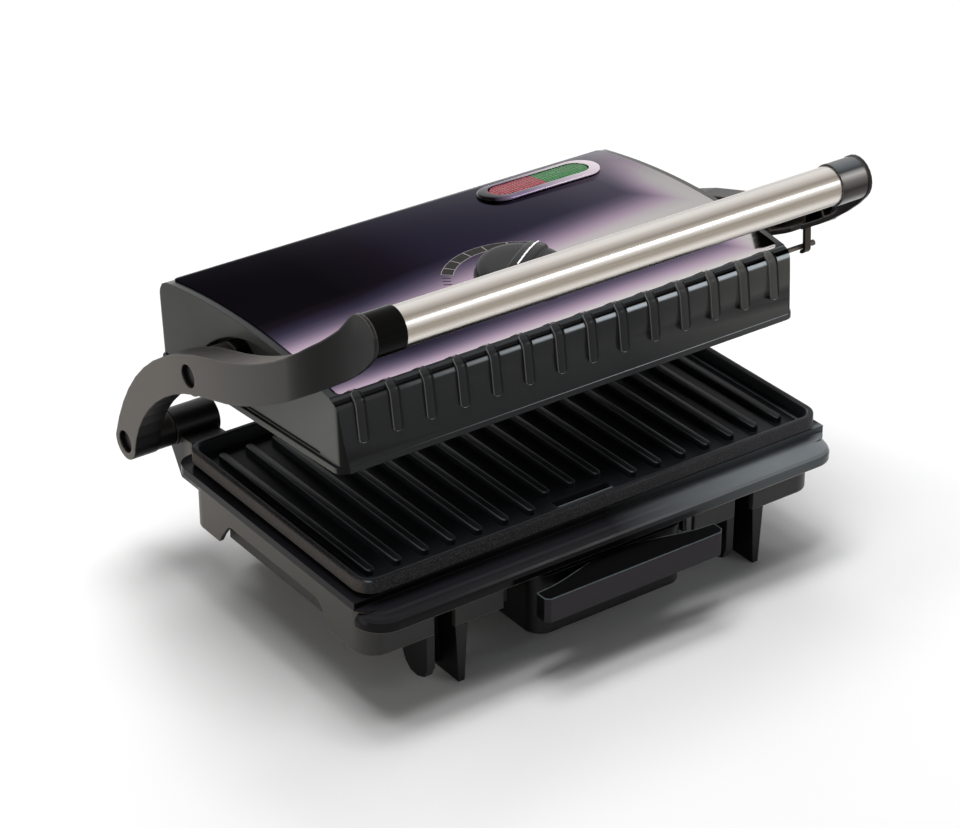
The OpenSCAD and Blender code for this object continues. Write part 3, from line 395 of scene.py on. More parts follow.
# Painted light on the rough outer wall: paler where it looks left, elsewhere dark and painted paler towards
# the right.
lit_left_wall = coated.band(coated.normal("X") * -1, 0.4, 0.9)
on_right = coated.band(coated.axis("X"), -0.06, 0.12)
front_wall_shading = coated.blend(on_right, paint(10, 9, 10), paint(46, 46, 48))
grey = coated.blend(wall, grey, coated.blend(lit_left_wall, front_wall_shading, paint(60, 55, 51)))
coated.put("Base Color", coated.blend(wall * sparkle, grey, paint(92, 90, 92)))
coated.put("Roughness", coated.band(cast, 0.3, 0.7, 0.28, 0.4) + wall * 0.24)
coated.bump(fine * 0.15 + wall * cast, 0.09)
piece("lower_grill_plate", lower, coated, "base", ["lower_plate"],
      Matrix.Translation((0, plate_y, 0)))

# Trim, moulded in glossy black and set on the housing, that frames the plate. At the front it
# swells into a rounded lip, whose right end is painted paler as a painted reflection.
piano = Finish("trim_black", paint(10, 10, 11), 0.16, specular=0.1, edge=0.5)
# Painted light: faces that look up paler than those that look forward, a painted reflection on the lip's
# right end and a painted highlight along the edges that look down.
lit_top = piano.band(piano.normal("Z"), 0.4, 0.75)
lip_right_reflection = piano.band(piano.axis("X"), 0.0, 0.09) * piano.band(piano.axis("Y"), -0.066, -0.07)
gloss = piano.blend(lit_top, paint(8, 6, 6), paint(32, 31, 35))
gloss = piano.blend(lip_right_reflection, gloss, piano.blend(lit_top, paint(86, 90, 92), paint(128, 134, 138)))
lip_edge_highlight = piano.blend(lip_right_reflection, paint(112, 106, 98), paint(196, 188, 184))
piano.put("Base Color", piano.blend(piano.at_edge(-1), gloss, lip_edge_highlight))
piano.put("Roughness", piano.band(piano.noise(60, 4), 0.3, 0.7, 0.1, 0.2))
piano.bump(piano.noise(900, 3), 0.004)
dress(piano, "front_trim")

# Heater rods in steel sheaths, bent into hairpins behind the plates, and the sheet metal trays that
# throw their heat at the plates.
sheath = Finish("heater", paint(92, 88, 84), 0.45, metallic=0.9, edge=0.3)
stains = sheath.band(sheath.noise(90, 4), 0.35, 0.65)
sheath.put("Base Color", sheath.blend(stains, paint(74, 70, 68), paint(108, 100, 92)))
sheath.speckle(0.45, 0.1, 1600, 0.02)
dress(sheath, "lower_heater", "upper_heater")
sheet = Finish("sheet_steel", paint(168, 170, 172), 0.38, metallic=1.0, edge=0.3)
sheet.speckle(0.36, 0.08, 700, 0.006, stretch=(1, 6, 1))
dress(sheet, "lower_reflector", "upper_reflector")

# Drip tray, moulded in heat-proof black nylon. It hangs on rails under the housing and has a broad
# finger grip in a smoother black, with a paler painted front and painted highlights on its upper edges.
nylon = Finish("tray_black", paint(14, 14, 14), 0.34, specular=0.16, edge=1.1)
nylon.speckle(0.34, 0.06, 2400, 0.012)
dress(nylon, "drip_tray", "tray_rails")
grip_skin = Finish("tray_grip_black", paint(34, 34, 35), 0.34, specular=0.08, edge=0.9)
grip_skin.speckle(0.34, 0.06, 2400, 0.012)
# Painted light: the grip's front face paler than its other faces, and a painted highlight along the edges
# that look up.
lit_grip_front = grip_skin.band(grip_skin.normal("Y") * -1, 0.3, 0.8)
grip_face = grip_skin.blend(lit_grip_front, paint(11, 11, 12), paint(50, 47, 50))
grip_skin.put("Base Color", grip_skin.blend(grip_skin.at_edge(), grip_face, paint(120, 132, 136)))
dress(grip_skin, "tray_handle")

# Arms, ribbed shells in glass-filled nylon with a silky skin. Painted shade makes them pale by the
# hinge and dark by the handle, and a painted highlight runs along their upper edges.
arm_skin = Finish("arm_plastic", paint(60, 57, 54), 0.42, specular=0.2, edge=1.2)
# Painted shade on the side faces, from pale by the hinge to dark by the handle, broken by soft clouds.
along = arm_skin.band(arm_skin.axis("Y"), -0.07, 0.05)
cloud = arm_skin.noise(26, 4)
shade = arm_skin.blend(arm_skin.band(along + cloud * 0.12, 0.16, 1.06), paint(8, 7, 6), paint(92, 87, 81))
# Painted shade: the tops darker towards the front, the undersides nearly black.
front_darkening = arm_skin.band(arm_skin.axis("Y"), 0.02, -0.02)
top_and_under_shading = arm_skin.blend(front_darkening, paint(20, 18, 17), paint(64, 60, 56))
top_and_under_shading = arm_skin.blend(arm_skin.band(arm_skin.normal("Z"), -0.1, 0.5), paint(5, 4, 4), top_and_under_shading)
outer_face = arm_skin.band(arm_skin.maths("ABSOLUTE", arm_skin.normal("X")), 0.3, 0.6)
outer_face = arm_skin.maths("MAXIMUM", outer_face, arm_skin.band(arm_skin.axis("Y"), -0.035, -0.045))
shade = arm_skin.blend(outer_face, top_and_under_shading, shade)
# Painted highlight along the upper edges.
arm_skin.put("Base Color", arm_skin.blend(arm_skin.at_edge() * 0.45, shade, paint(126, 122, 116)))
arm_skin.speckle(0.42, 0.05, 2600, 0.01)
dress(arm_skin, "arm_left", "arm_right")

# Hinge pins and lid pivots, turned from blackened steel, on which the arms swing and the lid hangs.
browned = Finish("steel_blackened", paint(34, 33, 33), 0.4, metallic=1.0, edge=0.3)
browned.speckle(0.4, 0.08, 1500, 0.005)
dress(browned, "hinge_pins", "pivot_pins")

# Handle tube, rolled from stainless steel and ground lengthways. A rod inside draws its collars
# together. Its shine is painted reflection, a ramp of bands over the direction its skin faces.
brushed = Finish("handle_steel", paint(200, 192, 180), 0.26, metallic=1.0, edge=0.3)
strokes = brushed.noise(520, 4, (0.02, 1, 1))
around = brushed.maths("ARCTAN2", brushed.normal("Y") * -1, brushed.normal("Z")) * (0.5 / math.pi) + 0.5
tube_reflection_ramp = brushed.node("ShaderNodeValToRGB", {"stops": [
    (0.0, paint(70, 66, 60)), (0.3, paint(150, 144, 138)), (0.46, paint(200, 193, 187)),
    (0.51, paint(230, 226, 221)), (0.545, paint(220, 214, 208)), (0.61, paint(146, 138, 128)),
    (0.64, paint(176, 168, 158)), (0.655, paint(252, 251, 249)), (0.68, paint(212, 206, 200)),
    (0.71, paint(148, 140, 128)), (0.745, paint(164, 155, 144)), (0.79, paint(224, 218, 211)),
    (0.815, paint(224, 218, 211)), (0.855, paint(140, 133, 121)), (0.89, paint(88, 81, 73)),
    (1.0, paint(70, 66, 60))]}, {0: around})
brushed.put("Roughness", brushed.band(strokes, 0.3, 0.7, 0.2, 0.34))
brushed.put("Base Color", brushed.blend(brushed.band(strokes, 0.2, 0.9, 0, 0.16), tube_reflection_ramp, paint(120, 114, 106)))
brushed.bump(strokes, 0.01)
dress(brushed, "handle_tube", "handle_rod")

# Collars, glossy black caps pressed over the ends of the tube. The left one is plain, and bands of
# painted reflection and painted sheen run along the right one.
collar_gloss = Finish("gloss_black", paint(8, 8, 8), 0.14, specular=0.04, edge=0.9)
to_end = collar_gloss.band(collar_gloss.axis("X"), 0.09, 0.112)
sheen = collar_gloss.band(collar_gloss.noise(60, 2, (0.1, 1, 1)), 0.35, 0.6)
turn_to = collar_gloss.maths("ARCTAN2", collar_gloss.normal("Y") * -1, collar_gloss.normal("Z"))
collar_reflections = collar_gloss.node("ShaderNodeValToRGB", {"stops": [
    (0.0, paint(70, 68, 66)), (0.4, paint(60, 62, 64)), (0.5, paint(108, 110, 112)),
    (0.56, paint(84, 90, 94)), (0.6, paint(50, 54, 56)), (0.64, paint(190, 188, 186)),
    (0.68, paint(128, 122, 120)), (0.74, paint(62, 58, 58)), (0.8, paint(96, 90, 90)),
    (0.86, paint(184, 184, 186)), (0.93, paint(150, 148, 148)), (1.0, paint(70, 68, 66))]},
    {0: turn_to * (0.5 / math.pi) + 0.5})
right_collar = collar_gloss.blend(sheen * 0.3, collar_reflections, paint(84, 80, 78))
collar_gloss.put("Base Color", collar_gloss.blend(to_end, paint(7, 6, 5), right_collar))
collar_gloss.put("Roughness", collar_gloss.band(collar_gloss.noise(300, 3), 0.3, 0.7, 0.08, 0.18))
collar_gloss.bump(collar_gloss.noise(700, 2), 0.003)
dress(collar_gloss, "collar_left", "collar_right")

# Stop hook, bent from a strip of spring steel and hooked under a pin of the lid, so that the lid
# can't drop past its open place. The pin has the dull skin of the heater rods.
strip = Finish("steel", paint(62, 56, 52), 0.35, metallic=1.0, edge=0.3)
strip.speckle(0.36, 0.08, 900, 0.01, stretch=(1, 1, 0.1))
dress(strip, "stop_hook")
dress(sheath, "stop_pin")

# Lid housing, moulded in black ABS: a hood with rounded front corners, an arched recess beside
# each arm and fourteen ridges that run over its front edge.
pivot_y, pivot_z, lid_tilt = 29.5, 120.5, 3.7
lid_w, lid_front, lid_back, lid_drop, lid_wall = 234.8, 82.8, 60.4, 20.0, 2.2
recess_in, boss_r = 6.5, 9
crown_r, crown_z, crown_y = 378.4, 22.3 - 378.4, 8.2
cover_front, cover_back, cover_t = -75.8, 50.5, 0.8
front_top, front_h, edge_cut = -80.2, 10.2, 3.6
at_lid = Matrix.Translation((0, pivot_y, pivot_z)) @ Matrix.Rotation(math.radians(-lid_tilt), 4, "X")


def crown(y, drop=0.0):
    return crown_z + math.sqrt((crown_r - drop) ** 2 - (y - crown_y) ** 2)


def carried(outline, low, high):
    """A solid of an outline in y and z, carried along x"""
    form = bmesh.new()
    face = form.faces.new([form.verts.new((low, y, z)) for y, z in outline])
    far = bmesh.ops.extrude_face_region(form, geom=[face])["geom"]
    far_verts = [v for v in far if isinstance(v, bmesh.types.BMVert)]
    bmesh.ops.translate(form, vec=(high - low, 0, 0), verts=far_verts)
    bmesh.ops.recalc_face_normals(form, faces=form.faces)
    return form


def carved(form, cutter, operation="DIFFERENCE"):
    """The form less the cutter, or what the two share. Both are closed."""
    made = []
    for part in (form, cutter):
        mesh = bpy.data.meshes.new("blank")
        part.to_mesh(mesh)
        part.free()
        made.append(bpy.data.objects.new("blank", mesh))
        bpy.context.scene.collection.objects.link(made[-1])
    knife = made[0].modifiers.new("knife", "BOOLEAN")
    knife.object, knife.operation, knife.solver = made[1], operation, "EXACT"
    shaped = made[0].evaluated_get(bpy.context.evaluated_depsgraph_get()).to_mesh()
    result = bmesh.new()
    result.from_mesh(shaped)
    for thing in made:
        mesh = thing.data
        bpy.data.objects.remove(thing)
        bpy.data.meshes.remove(mesh)
    return result


def arch(grow, low, high):
    """The recess beside an arm: a round arch over a slanting foot, grown by a margin"""
    points = []
    for i in range(25):
        angle = math.radians(108.5 - i * (108.5 - 48.6) / 24)
        y = -24 + (71 + grow) * math.cos(angle)
        if -46 - grow <= y <= 23 + grow:
            points.append((y, -55.3 + (71 + grow) * math.sin(angle)))
    points += [(23 + grow, -12 - grow), (-14 - grow, -12 - grow), (-46 - grow, 10.5 - grow)]
    return carried(points, low, high)


top_ys = [cover_front + i * (cover_back - cover_front) / 20 for i in range(21)]
top_line = [(y, crown(y, cover_t)) for y in top_ys]
hood = carried([(-lid_front, -lid_drop), (front_top, front_h), (cover_front - 0.2, top_line[0][1] - 0.6),
                *top_line, (cover_back + 3.4, top_line[-1][1] - 1.6), (lid_back - 3, 12.5),
                (lid_back, -lid_drop)], -lid_w / 2, lid_w / 2)


def at_corner(edge, y, z):
    """Whether an edge runs along x through one corner of the outline"""
    return all(abs(v.co.y - y) < 0.6 and abs(v.co.z - z) < 0.6 for v in edge.verts)


round_off(hood, [e for e in hood.edges if at_corner(e, front_top, front_h)], edge_cut, 6)
round_off(hood, [e for e in hood.edges if at_corner(e, lid_back - 3, 12.5)], 3, 5)
plan = block((-lid_w / 2, -lid_front, -40), (lid_w / 2, lid_back, 60), corner=5, steps=10)
hood = carved(hood, plan, "INTERSECT")
inside = carried([(-lid_front + lid_wall, -lid_drop - 1), (front_top + lid_wall + 1, front_h - lid_wall - 1),
                  *[(y, z - lid_wall) for y, z in top_line[1:-1]], (lid_back - 3 - lid_wall, 10),
                  (lid_back - lid_wall, -lid_drop - 1)], -lid_w / 2 + lid_wall, lid_w / 2 - lid_wall)
for sx in (-1, 1):
    x0, x1 = lid_w / 2 - recess_in - lid_wall, lid_w / 2
    inside = carved(inside, arch(lid_wall, min(sx * x0, sx * x1), max(sx * x0, sx * x1)))
hood = carved(hood, inside)
for sx in (-1, 1):
    x0, x1 = lid_w / 2 - recess_in, lid_w / 2 + 1
    hood = carved(hood, arch(0, min(sx * x0, sx * x1), max(sx * x0, sx * x1)))
    groove = block((-0.8, -66, -16.4), (0.8, 56, -15.2))
    bmesh.ops.translate(groove, vec=(sx * lid_w / 2, 0, 0), verts=groove.verts)
    hood = carved(hood, groove)
hem = block((-lid_w / 2 - 1.2, -lid_front, -lid_drop), (lid_w / 2 + 1.2, lid_back + 0.9, -lid_drop + 3.1),
            corner=6, rim=0.8, steps=10)
mouth = block((-lid_w / 2 + lid_wall, -lid_front + lid_wall, -lid_drop - 1),
              (lid_w / 2 - lid_wall, lid_back - lid_wall, -lid_drop + 6), corner=4)
join(hood, carved(hem, mouth))
boss = bmesh.new()
for sx in (-1, 1):
    lying = Matrix.Rotation(math.radians(90), 4, "Y")
    lying = Matrix.Translation((sx * (lid_w / 2 - recess_in / 2), 0, 0)) @ lying
    bmesh.ops.create_cone(boss, cap_ends=True, segments=48, radius1=boss_r, radius2=boss_r, depth=recess_in,
                          matrix=lying)
join(hood, boss)

abs_gloss = Finish("lid_plastic", paint(30, 30, 31), 0.16, specular=0.11, edge=0.6)
side_on = abs_gloss.band(abs_gloss.maths("ABSOLUTE", abs_gloss.normal("X")), 0.9, 0.98)
abs_gloss.put("Roughness", abs_gloss.band(abs_gloss.noise(70, 4), 0.3, 0.7, 0.12, 0.2) + side_on * 0.16)
# Painted reflection: the front is painted paler towards the right.
front_right_reflection = abs_gloss.band(abs_gloss.axis("X"), 0.03, 0.11)
front_shading = abs_gloss.blend(front_right_reflection, paint(38, 39, 40), paint(76, 76, 74))
rise = abs_gloss.normal("Z")
# Painted light along the top ledge and the rounded front edge: a lit ledge, a painted highlight line that
# brightens to the right, and a dark painted reflection above it.
lit_ledge = abs_gloss.band(rise, 0.88, 0.94) * abs_gloss.band(abs_gloss.axis("Y"), -0.040, -0.046)
at_front = abs_gloss.band(abs_gloss.normal("Y") * -1, 0.1, 0.2)
fillet_highlight_on = abs_gloss.band(rise, 0.36, 0.48) * abs_gloss.band(rise, 0.68, 0.58) * at_front
fillet_dark_reflection = abs_gloss.band(rise, 0.62, 0.7) * abs_gloss.band(rise, 0.93, 0.87) * at_front
from_left = abs_gloss.band(abs_gloss.axis("X"), -0.09, 0.03)
fillet_highlight = abs_gloss.blend(from_left, paint(46, 46, 46), paint(176, 184, 190))
front_shading = abs_gloss.blend(fillet_highlight_on, front_shading, fillet_highlight)
front_shading = abs_gloss.blend(fillet_dark_reflection, front_shading, paint(2, 2, 2))
front_shading = abs_gloss.blend(lit_ledge, front_shading, paint(43, 46, 48))
# Painted dark reflection in the rounded front corners.
corner_dark_reflection = abs_gloss.band(abs_gloss.maths("ABSOLUTE", abs_gloss.normal("X")), 0.2, 0.3)
front_shading = abs_gloss.blend(corner_dark_reflection, front_shading, paint(4, 2, 2))
# Painted light on the sides: paler towards the front.
backwards = abs_gloss.band(abs_gloss.axis("Y"), -0.05, 0.06)
side_shading = abs_gloss.blend(backwards, paint(92, 94, 89), paint(52, 52, 50))
abs_gloss.put("Base Color", abs_gloss.blend(side_on, front_shading, side_shading))
abs_gloss.bump(abs_gloss.noise(1400, 3), 0.005)
piece("lid_hood", hood, abs_gloss, "lid", ["lid_housing"], at_lid)

# Ridges, moulded with the hood: flat bars with round ends, bent over its rounded front edge. Each
# has a painted highlight on its left flank, painted shade on its right one, a painted shadow line
# beside it and painted highlights on its tips.
ridge_count, ridge_pitch, ridge_w, ridge_foot, ridge_rise = 14, 16.38, 5.4, 11.4, 1.3
lean = math.atan((lid_front + front_top) / (front_h + lid_drop))
upwards, ahead = Vector((0, math.sin(lean), math.cos(lean))), Vector((0, -math.cos(lean), math.sin(lean)))
ledge = Vector((0, cover_front - 0.2 - front_top, top_line[0][1] - 0.6 - front_h))
turn = upwards.angle(ledge)
edge_at = (front_h + lid_drop) / math.cos(lean) - edge_cut
edge_r = edge_cut / math.tan(turn / 2)
ridges = bmesh.new()
for i in range(ridge_count):
    bar = block((-ridge_w / 2, ridge_foot, -0.5), (ridge_w / 2, edge_at + edge_r * turn + 0.5, ridge_rise),
                corner=ridge_w / 2 - 0.05, rim=1.0, steps=6)
    for j in range(13):
        everything = bar.verts[:] + bar.edges[:] + bar.faces[:]
        bmesh.ops.bisect_plane(bar, geom=everything, plane_co=(0, edge_at + j / 12 * edge_r * turn, 0),
                               plane_no=(0, 1, 0), dist=0.001)
    for vert in bar.verts:
        angle = min(max((vert.co.y - edge_at) / edge_r, 0), turn)
        out = ahead * math.cos(angle) + upwards * math.sin(angle)
        on = upwards * math.cos(angle) - ahead * math.sin(angle)
        past = min(vert.co.y - edge_at, 0) + max(vert.co.y - edge_at - edge_r * turn, 0)
        foot = Vector((vert.co.x + (i - (ridge_count - 1) / 2) * ridge_pitch, -lid_front, -lid_drop))
        vert.co = foot + upwards * edge_at - ahead * edge_r + out * (edge_r + vert.co.z) + on * past
    join(ridges, bar)

bar_gloss = Finish("ridge_plastic", paint(36, 37, 37), 0.14, specular=0.1, edge=0.3)
# Painted reflection: paler towards the right, as the hood's front is.
bar_right_reflection = bar_gloss.band(bar_gloss.axis("X"), 0.03, 0.11)
to_left = bar_gloss.normal("X") * -1
lit_left_flank = bar_gloss.band(to_left, 0.4, 0.55) * bar_gloss.band(to_left, 0.95, 0.8)
bar_shading = bar_gloss.blend(bar_right_reflection, paint(38, 39, 40), paint(78, 78, 76))
# Painted shade on the right flanks and a painted shadow line beside each ridge.
bar_shading = bar_gloss.blend(bar_gloss.band(bar_gloss.normal("X"), 0.15, 0.35), bar_shading, paint(3, 3, 3))
count = bar_gloss.axis("X") * (1000 / ridge_pitch) + 0.5
beside = count - bar_gloss.maths("ROUND", count)
bar_shading = bar_gloss.blend(bar_gloss.band(beside, 0.06, 0.085), bar_shading, paint(2, 2, 2))
# Painted highlights on the left flanks and on the tips.
bar_shading = bar_gloss.blend(lit_left_flank, bar_shading, paint(96, 94, 93))
tip_highlights = bar_gloss.maths("MAXIMUM", bar_gloss.band(bar_gloss.normal("Z") * -1, 0.45, 0.6),
                       bar_gloss.band(bar_gloss.normal("Y"), 0.35, 0.55))
near_mid = bar_gloss.band(bar_gloss.maths("ABSOLUTE", beside), 0.09, 0.05)
bar_gloss.put("Base Color", bar_gloss.blend(tip_highlights * near_mid, bar_shading, paint(214, 212, 210)))
bar_gloss.put("Roughness", bar_gloss.band(bar_gloss.noise(90, 3), 0.3, 0.7, 0.12, 0.2))
piece("lid_ridges", ridges, bar_gloss, "lid", (), at_lid)

# Lid cover, pressed from stainless steel 0.8 mm thick and polished to a mirror. Its colour is painted
# reflection laid over the sheet by place: dark violet that pales to silver at the front and the
# right, with a painted reflection of the handle tube across it.
cover_w = lid_w - 7
arc_ys = [cover_front + i * (cover_back - cover_front) / 48 for i in range(49)]
cover = carried([(y, crown(y)) for y in arc_ys] + [(y, crown(y, cover_t)) for y in reversed(arc_ys)],
                -cover_w / 2, cover_w / 2)
corners = [e for e in cover.edges if all(abs(abs(v.co.x) - cover_w / 2) < 0.01 for v in e.verts)
           and (all(v.co.y < cover_front + 0.3 for v in e.verts)
                or all(v.co.y > cover_back - 0.3 for v in e.verts))
           and abs(e.verts[0].co.z - e.verts[1].co.z) > 0.5]
round_off(cover, corners, 2.5, 5)
cover.normal_update()
brim = [e for e in cover.edges if e.calc_face_angle() > 1
        and all(v.co.z > crown(v.co.y) - 0.1 for v in e.verts)]
round_off(cover, brim, 0.3, 2)

mirror = Finish("cover_steel", paint(140, 128, 146), 0.12, metallic=1.0)
mirror.put("Specular Tint", (0.5, 0.5, 0.507))
wave = mirror.noise(9, 2) * 0.004
across = mirror.axis("X")
ahead_of = pivot_y / 1000 - mirror.axis("Y") + wave
dusk_reflection = mirror.node("ShaderNodeValToRGB", {"stops": [
    (place, (grey_level,) * 3) for place, grey_level in
    ((0.0, 0.0), (0.2, 0.02), (0.34, 0.2), (0.45, 0.3), (0.7, 0.38), (0.9, 0.5), (1.0, 0.62))]},
    {0: mirror.band(across, -0.117, 0.117)})
dusk_reflection = mirror.band(dusk_reflection, 0, 1)
glow_from = across * -0.07 + 0.009
glow_to = across * -0.1 + 0.039
glow_reflection = mirror.band(ahead_of, glow_from, glow_to)
# Painted reflection of the handle tube, with a paler line at the front edge, and a paler right side.
reflected_tube = mirror.band(ahead_of, 0.049, 0.059)
front_reflection_line = mirror.band(ahead_of, 0.065, 0.0775) * mirror.band(across, -0.117, 0.03, 0.72, 1)
right_reflection = mirror.band(across, 0.086, 0.107) * mirror.band(ahead_of, -0.045, 0.0, 0.15, 1)
shine = mirror.maths("MAXIMUM", glow_reflection * (1 - reflected_tube), reflected_tube * (front_reflection_line * 0.75 + 0.25))
shine = mirror.maths("MAXIMUM", shine, right_reflection)
shine = dusk_reflection + (1 - dusk_reflection) * shine
violet_reflection = mirror.node("ShaderNodeValToRGB", {"stops": [
    (0.0, paint(17, 15, 18)), (0.2, paint(29, 24, 32)), (0.3, paint(41, 37, 52)),
    (0.4, paint(54, 50, 66)), (0.5, paint(78, 71, 89)), (0.6, paint(107, 96, 116)),
    (0.7, paint(146, 128, 148)), (0.82, paint(186, 166, 184)), (0.9, paint(200, 190, 195)),
    (1.0, paint(207, 203, 201))]}, {0: shine})
mirror.put("Base Color", violet_reflection)
mirror.put("Roughness", mirror.band(mirror.noise(420, 3, (0.05, 1, 1)), 0.3, 0.7, 0.08, 0.13))
mirror.bump(mirror.noise(5, 2), 0.2)
piece("polished_cover", cover, mirror, "lid", ["lid_cover"], at_lid, smooth=30)


def on_crown(x, y):
    """Square to the cover at one place of it"""
    slope = math.asin((y - crown_y) / crown_r)
    return at_lid @ Matrix.Translation((x, y, crown(y))) @ Matrix.Rotation(-slope, 4, "X")


# Signal lights: a bright bezel, plated and set in the cover, round two lenses in red and green
# acrylic, cross-cut so that they glitter. The lenses meet in the middle of the bezel.
lights_x, lights_y = 66.5, 33.3
bezel_w, bezel_d, lens_w, lens_d, lens_gap = 64.4, 21, 52.4, 14, 0.4
window_w, window_d = lens_w + 2 * lens_gap, lens_d + 2 * lens_gap
lights = on_crown(lights_x, lights_y)
ring = carved(block((-bezel_w / 2, -bezel_d / 2, 0.05), (bezel_w / 2, bezel_d / 2, 1.7),
                    corner=bezel_d / 2 - 0.05, rim=1.5, steps=16, rim_steps=4),
              block((-window_w / 2, -window_d / 2, -3), (window_w / 2, window_d / 2, 5),
                    corner=window_d / 2 - 0.05, steps=14))
chrome = Finish("bezel", paint(190, 180, 190), 0.18, metallic=1.0, edge=0.4)
# Painted reflection: a dark left end, a bright right end and bright faces that look back, paler faces that
# look forward.
dark_left_reflection = chrome.band(chrome.axis("X"), 0.037, 0.045)
bright_right_reflection = chrome.band(chrome.axis("X"), 0.052, 0.1)
front_side = chrome.band(chrome.normal("Y") * -1, -0.3, 0.5)
sides = chrome.blend(front_side, paint(96, 88, 104), paint(128, 114, 140))
sides = chrome.blend(chrome.band(chrome.normal("Y"), 0.35, 0.7), sides, paint(226, 216, 224))
sides = chrome.blend(bright_right_reflection, sides, paint(232, 218, 226))
chrome.put("Base Color", chrome.blend(dark_left_reflection, paint(12, 10, 12), sides))
chrome.put("Roughness", chrome.band(chrome.noise(500, 2), 0.3, 0.7, 0.14, 0.24))
piece("bright_bezel", ring, chrome, "lid", ["light_bezel"], lights)


def lens_finish(name, dark, light):
    """Clear colour over two crossing sets of cuts"""
    made = Finish(name, dark, 0.16, specular=0.12)
    slant = (0, 0, math.radians(38))
    slanted = made.node("ShaderNodeMapping", None, {"Vector": made.place(), "Rotation": slant})
    cuts = [made.maths("SINE", made.axis(letter, slanted) * 2700) for letter in ("X", "Y")]
    facets = cuts[0] * cuts[1]
    made.put("Base Color", made.blend(made.band(facets + made.noise(240, 3) * 0.5, -0.3, 0.9), dark, light))
    made.bump(facets, 0.12)
    return made


for name, sign, finish in (("red_lens", -1, lens_finish("red_lens", paint(50, 0, 6), paint(172, 58, 70))),
                           ("green_lens", 1, lens_finish("green_lens", paint(0, 32, 8), paint(8, 128, 40)))):
    lens = block((-lens_w / 2, -lens_d / 2, -3), (lens_w / 2, lens_d / 2, 1.5), corner=lens_d / 2 - 0.05,
                 rim=0.8, steps=12)
    everything = lens.verts[:] + lens.edges[:] + lens.faces[:]
    bmesh.ops.bisect_plane(lens, geom=everything, plane_co=(sign * 0.05, 0, 0), plane_no=(-sign, 0, 0),
                           clear_outer=True)
    bmesh.ops.holes_fill(lens, edges=[e for e in lens.edges if len(e.link_faces) == 1], sides=0)
    bmesh.ops.recalc_face_normals(lens, faces=lens.faces)
    piece("cut_" + name, lens, finish, "lid", [name], lights)

# Inside the lid: a thermostat and a thermal fuse in fired ceramic, and two neon lamps of clear
# glass, which stand below the lenses in a holder of black plastic.
ceramic = Finish("ceramic", paint(196, 188, 172), 0.5, edge=0.3)
ceramic.speckle(0.5, 0.08, 1400, 0.01)
dress(ceramic, "thermostat", "thermal_fuse")
dress(cellar, "lamp_holder")
neon = Finish("lamp_glass", paint(214, 196, 176), 0.12, specular=0.6)
smoke = neon.band(neon.noise(300, 2), 0.4, 0.6)
neon.put("Base Color", neon.blend(smoke, paint(206, 180, 160), paint(226, 210, 190)))
dress(neon, "lamps")

# Thermostat knob, moulded in black with a fin to grip and a white line let into it. It is pushed
# on the spindle of the thermostat through the cover.
knob_y = -45
pointer_turn = Matrix.Rotation(math.radians(33 - 90), 3, "Z")
knob_place = on_crown(0, knob_y)


def turned(profile):
    """A solid of revolution of a profile of radii and heights"""
    form = bmesh.new()
    verts = [form.verts.new((r, 0, z)) for r, z in profile]
    edges = [form.edges.new(pair) for pair in zip(verts, verts[1:])]
    bmesh.ops.spin(form, geom=verts + edges, axis=(0, 0, 1), cent=(0, 0, 0), steps=72, angle=math.tau,
                   use_merge=True)
    bmesh.ops.remove_doubles(form, verts=form.verts, dist=0.001)
    bmesh.ops.recalc_face_normals(form, faces=form.faces)
    return form


knob = turned([(0, 8.3), (10, 8.25), (16.4, 8.0), (18.6, 7.5), (19.6, 6.6), (20.0, 5.4), (20.2, 3.2),
               (20.4, 2.8), (20.7, 2.5), (20.9, 2.0), (20.9, 1.4), (20.6, 1.0), (3, 0.9), (3, -8.4),
               (0, -8.4)])
fin = carried([(-20.2, 2.6), (-19.6, 7.4), (-17, 9.9), (-12, 11.4), (-6, 12.1), (0, 12.3), (6, 12.1),
               (12, 11.4), (17, 9.9), (19.6, 7.4), (20.2, 2.6)], -4, 4)
round_off(fin, [e for e in fin.edges if abs(e.verts[0].co.x - e.verts[1].co.x) < 0.01], 1.1, 3)
bmesh.ops.rotate(fin, verts=fin.verts, cent=(0, 0, 0), matrix=pointer_turn)
join(knob, fin)
knob_skin = Finish("knob_black", paint(22, 22, 23), 0.34, specular=0.2, edge=0.4)
knob_skin.speckle(0.34, 0.06, 2600, 0.012)
dial = piece("turned_knob", knob, knob_skin, "knob", ["dial_knob"], knob_place)
dial.visible_glossy = False

pointer = carried([(-8, 11.9), (0, 12.2), (6, 12.0), (12, 11.3), (17, 9.8), (19.5, 7.4), (20.1, 4), (20.6, 4),
                   (20, 7.6), (17.3, 10.2), (12.1, 11.75), (6, 12.45), (0, 12.65), (-8, 12.3)], -0.38, 0.38)
bmesh.ops.rotate(pointer, verts=pointer.verts, cent=(0, 0, 0), matrix=pointer_turn)
pointer_white = Finish("pointer_white", paint(236, 236, 236), 0.4)
pointer_white.put("Roughness", pointer_white.band(pointer_white.noise(800, 2), 0.3, 0.7, 0.35, 0.5))
piece("pointer_line", pointer, pointer_white, "knob", ["knob_pointer"], knob_place)

# Scale round the knob, printed on the cover: a ring of dark blocks with pale outlines that widen
# with the heat, and four short marks at its cold end.
blocks_in, blocks_out, print_t = 29.6, 34.4, 0.12


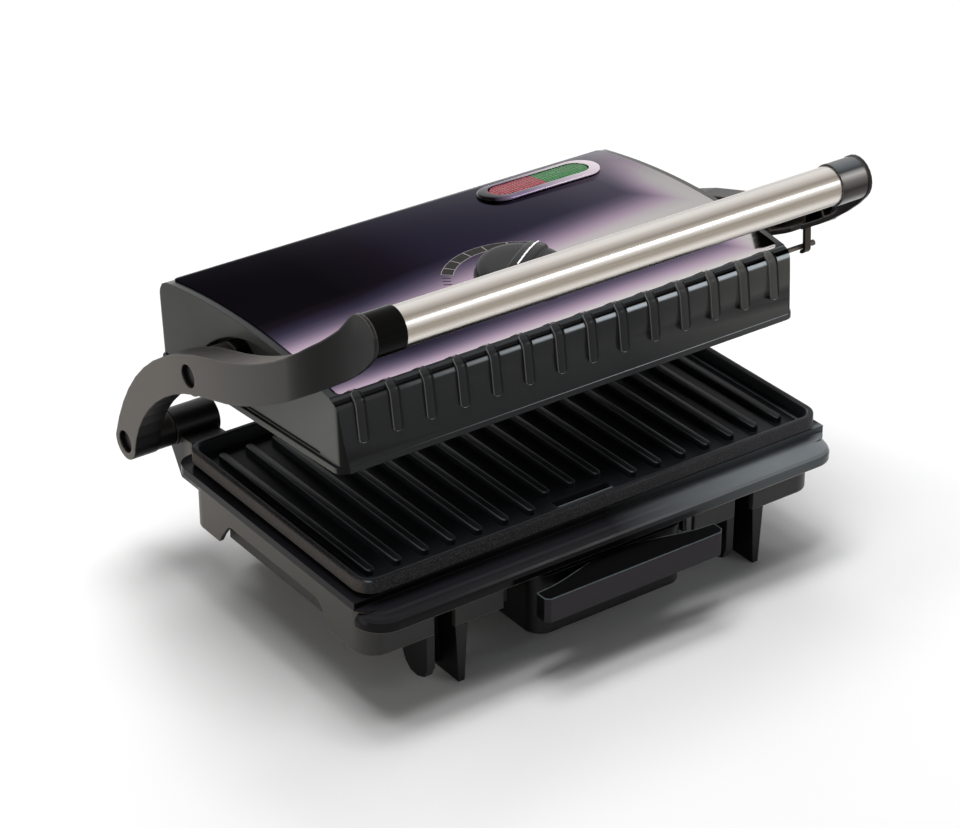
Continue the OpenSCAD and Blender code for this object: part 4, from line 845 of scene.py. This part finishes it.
def printed(form, inner, outer, start, end, rise):
    """One block of the scale, laid on the curve of the cover"""
    block_form = bmesh.new()
    bmesh.ops.create_grid(block_form, x_segments=12, y_segments=2, size=0.5)
    for vert in block_form.verts:
        angle = math.radians(start + (vert.co.x + 0.5) * (end - start))
        radius = inner + (vert.co.y + 0.5) * (outer - inner)
        vert.co = (radius * math.cos(angle), knob_y + radius * math.sin(angle), 0)
    raised = bmesh.ops.extrude_face_region(block_form, geom=block_form.faces[:])["geom"]
    raised = [v for v in raised if isinstance(v, bmesh.types.BMVert)]
    bmesh.ops.translate(block_form, vec=(0, 0, print_t), verts=raised)
    for vert in block_form.verts:
        vert.co.z += crown(vert.co.y) + rise
    bmesh.ops.recalc_face_normals(block_form, faces=block_form.faces)
    join(form, block_form)


blocks, outlines = bmesh.new(), bmesh.new()
start = 139.0
for width in (9.0, 11.5, 14.0, 16.0, 18.0, 20.0):
    printed(blocks, blocks_in, blocks_out, start, start - width, -0.05)
    printed(outlines, blocks_in - 0.4, blocks_out + 0.3, start + 0.7, start - width - 0.7, -0.09)
    start -= width + 1.1
for mark in (145, 150, 155, 160):
    printed(blocks, blocks_in + 0.6, blocks_out - 0.6, mark, mark - 0.9, -0.05)
ink = Finish("scale_ink", paint(20, 20, 18), 0.45, specular=0.12)
ink.put("Roughness", ink.band(ink.noise(900, 2), 0.3, 0.7, 0.4, 0.55))
piece("scale_blocks", blocks, ink, "lid", (), at_lid)
pale_ink = Finish("scale_outline", paint(128, 118, 122), 0.4)
pale_ink.put("Roughness", pale_ink.band(pale_ink.noise(900, 2), 0.3, 0.7, 0.35, 0.5))
piece("scale_outlines", outlines, pale_ink, "lid", (), at_lid)

# Upper plate, cast and coated as the lower one is, and screwed into the lid with its ribs
# downwards.
upper_w, upper_d, upper_pitch = 222.4, 127.2, 12.9
lid_mid = (lid_back - lid_front) / 2
upper = block((-upper_w / 2, -upper_d / 2, -3.5), (upper_w / 2, upper_d / 2, 0), corner=6, rim=0.8)
for i in range(rib_count):
    x = (i - (rib_count - 1) / 2) * upper_pitch
    join(upper, block((x - rib_w / 2, 8 - upper_d / 2, -0.5), (x + rib_w / 2, upper_d / 2 - 8, 3),
                      rib_w / 2 - 0.05, rib_round))
piece("upper_grill_plate", upper, coated, "lid", ["upper_plate"],
      at_lid @ Matrix.Translation((0, lid_mid, -20.8)) @ Matrix.Rotation(math.pi, 4, "X"))
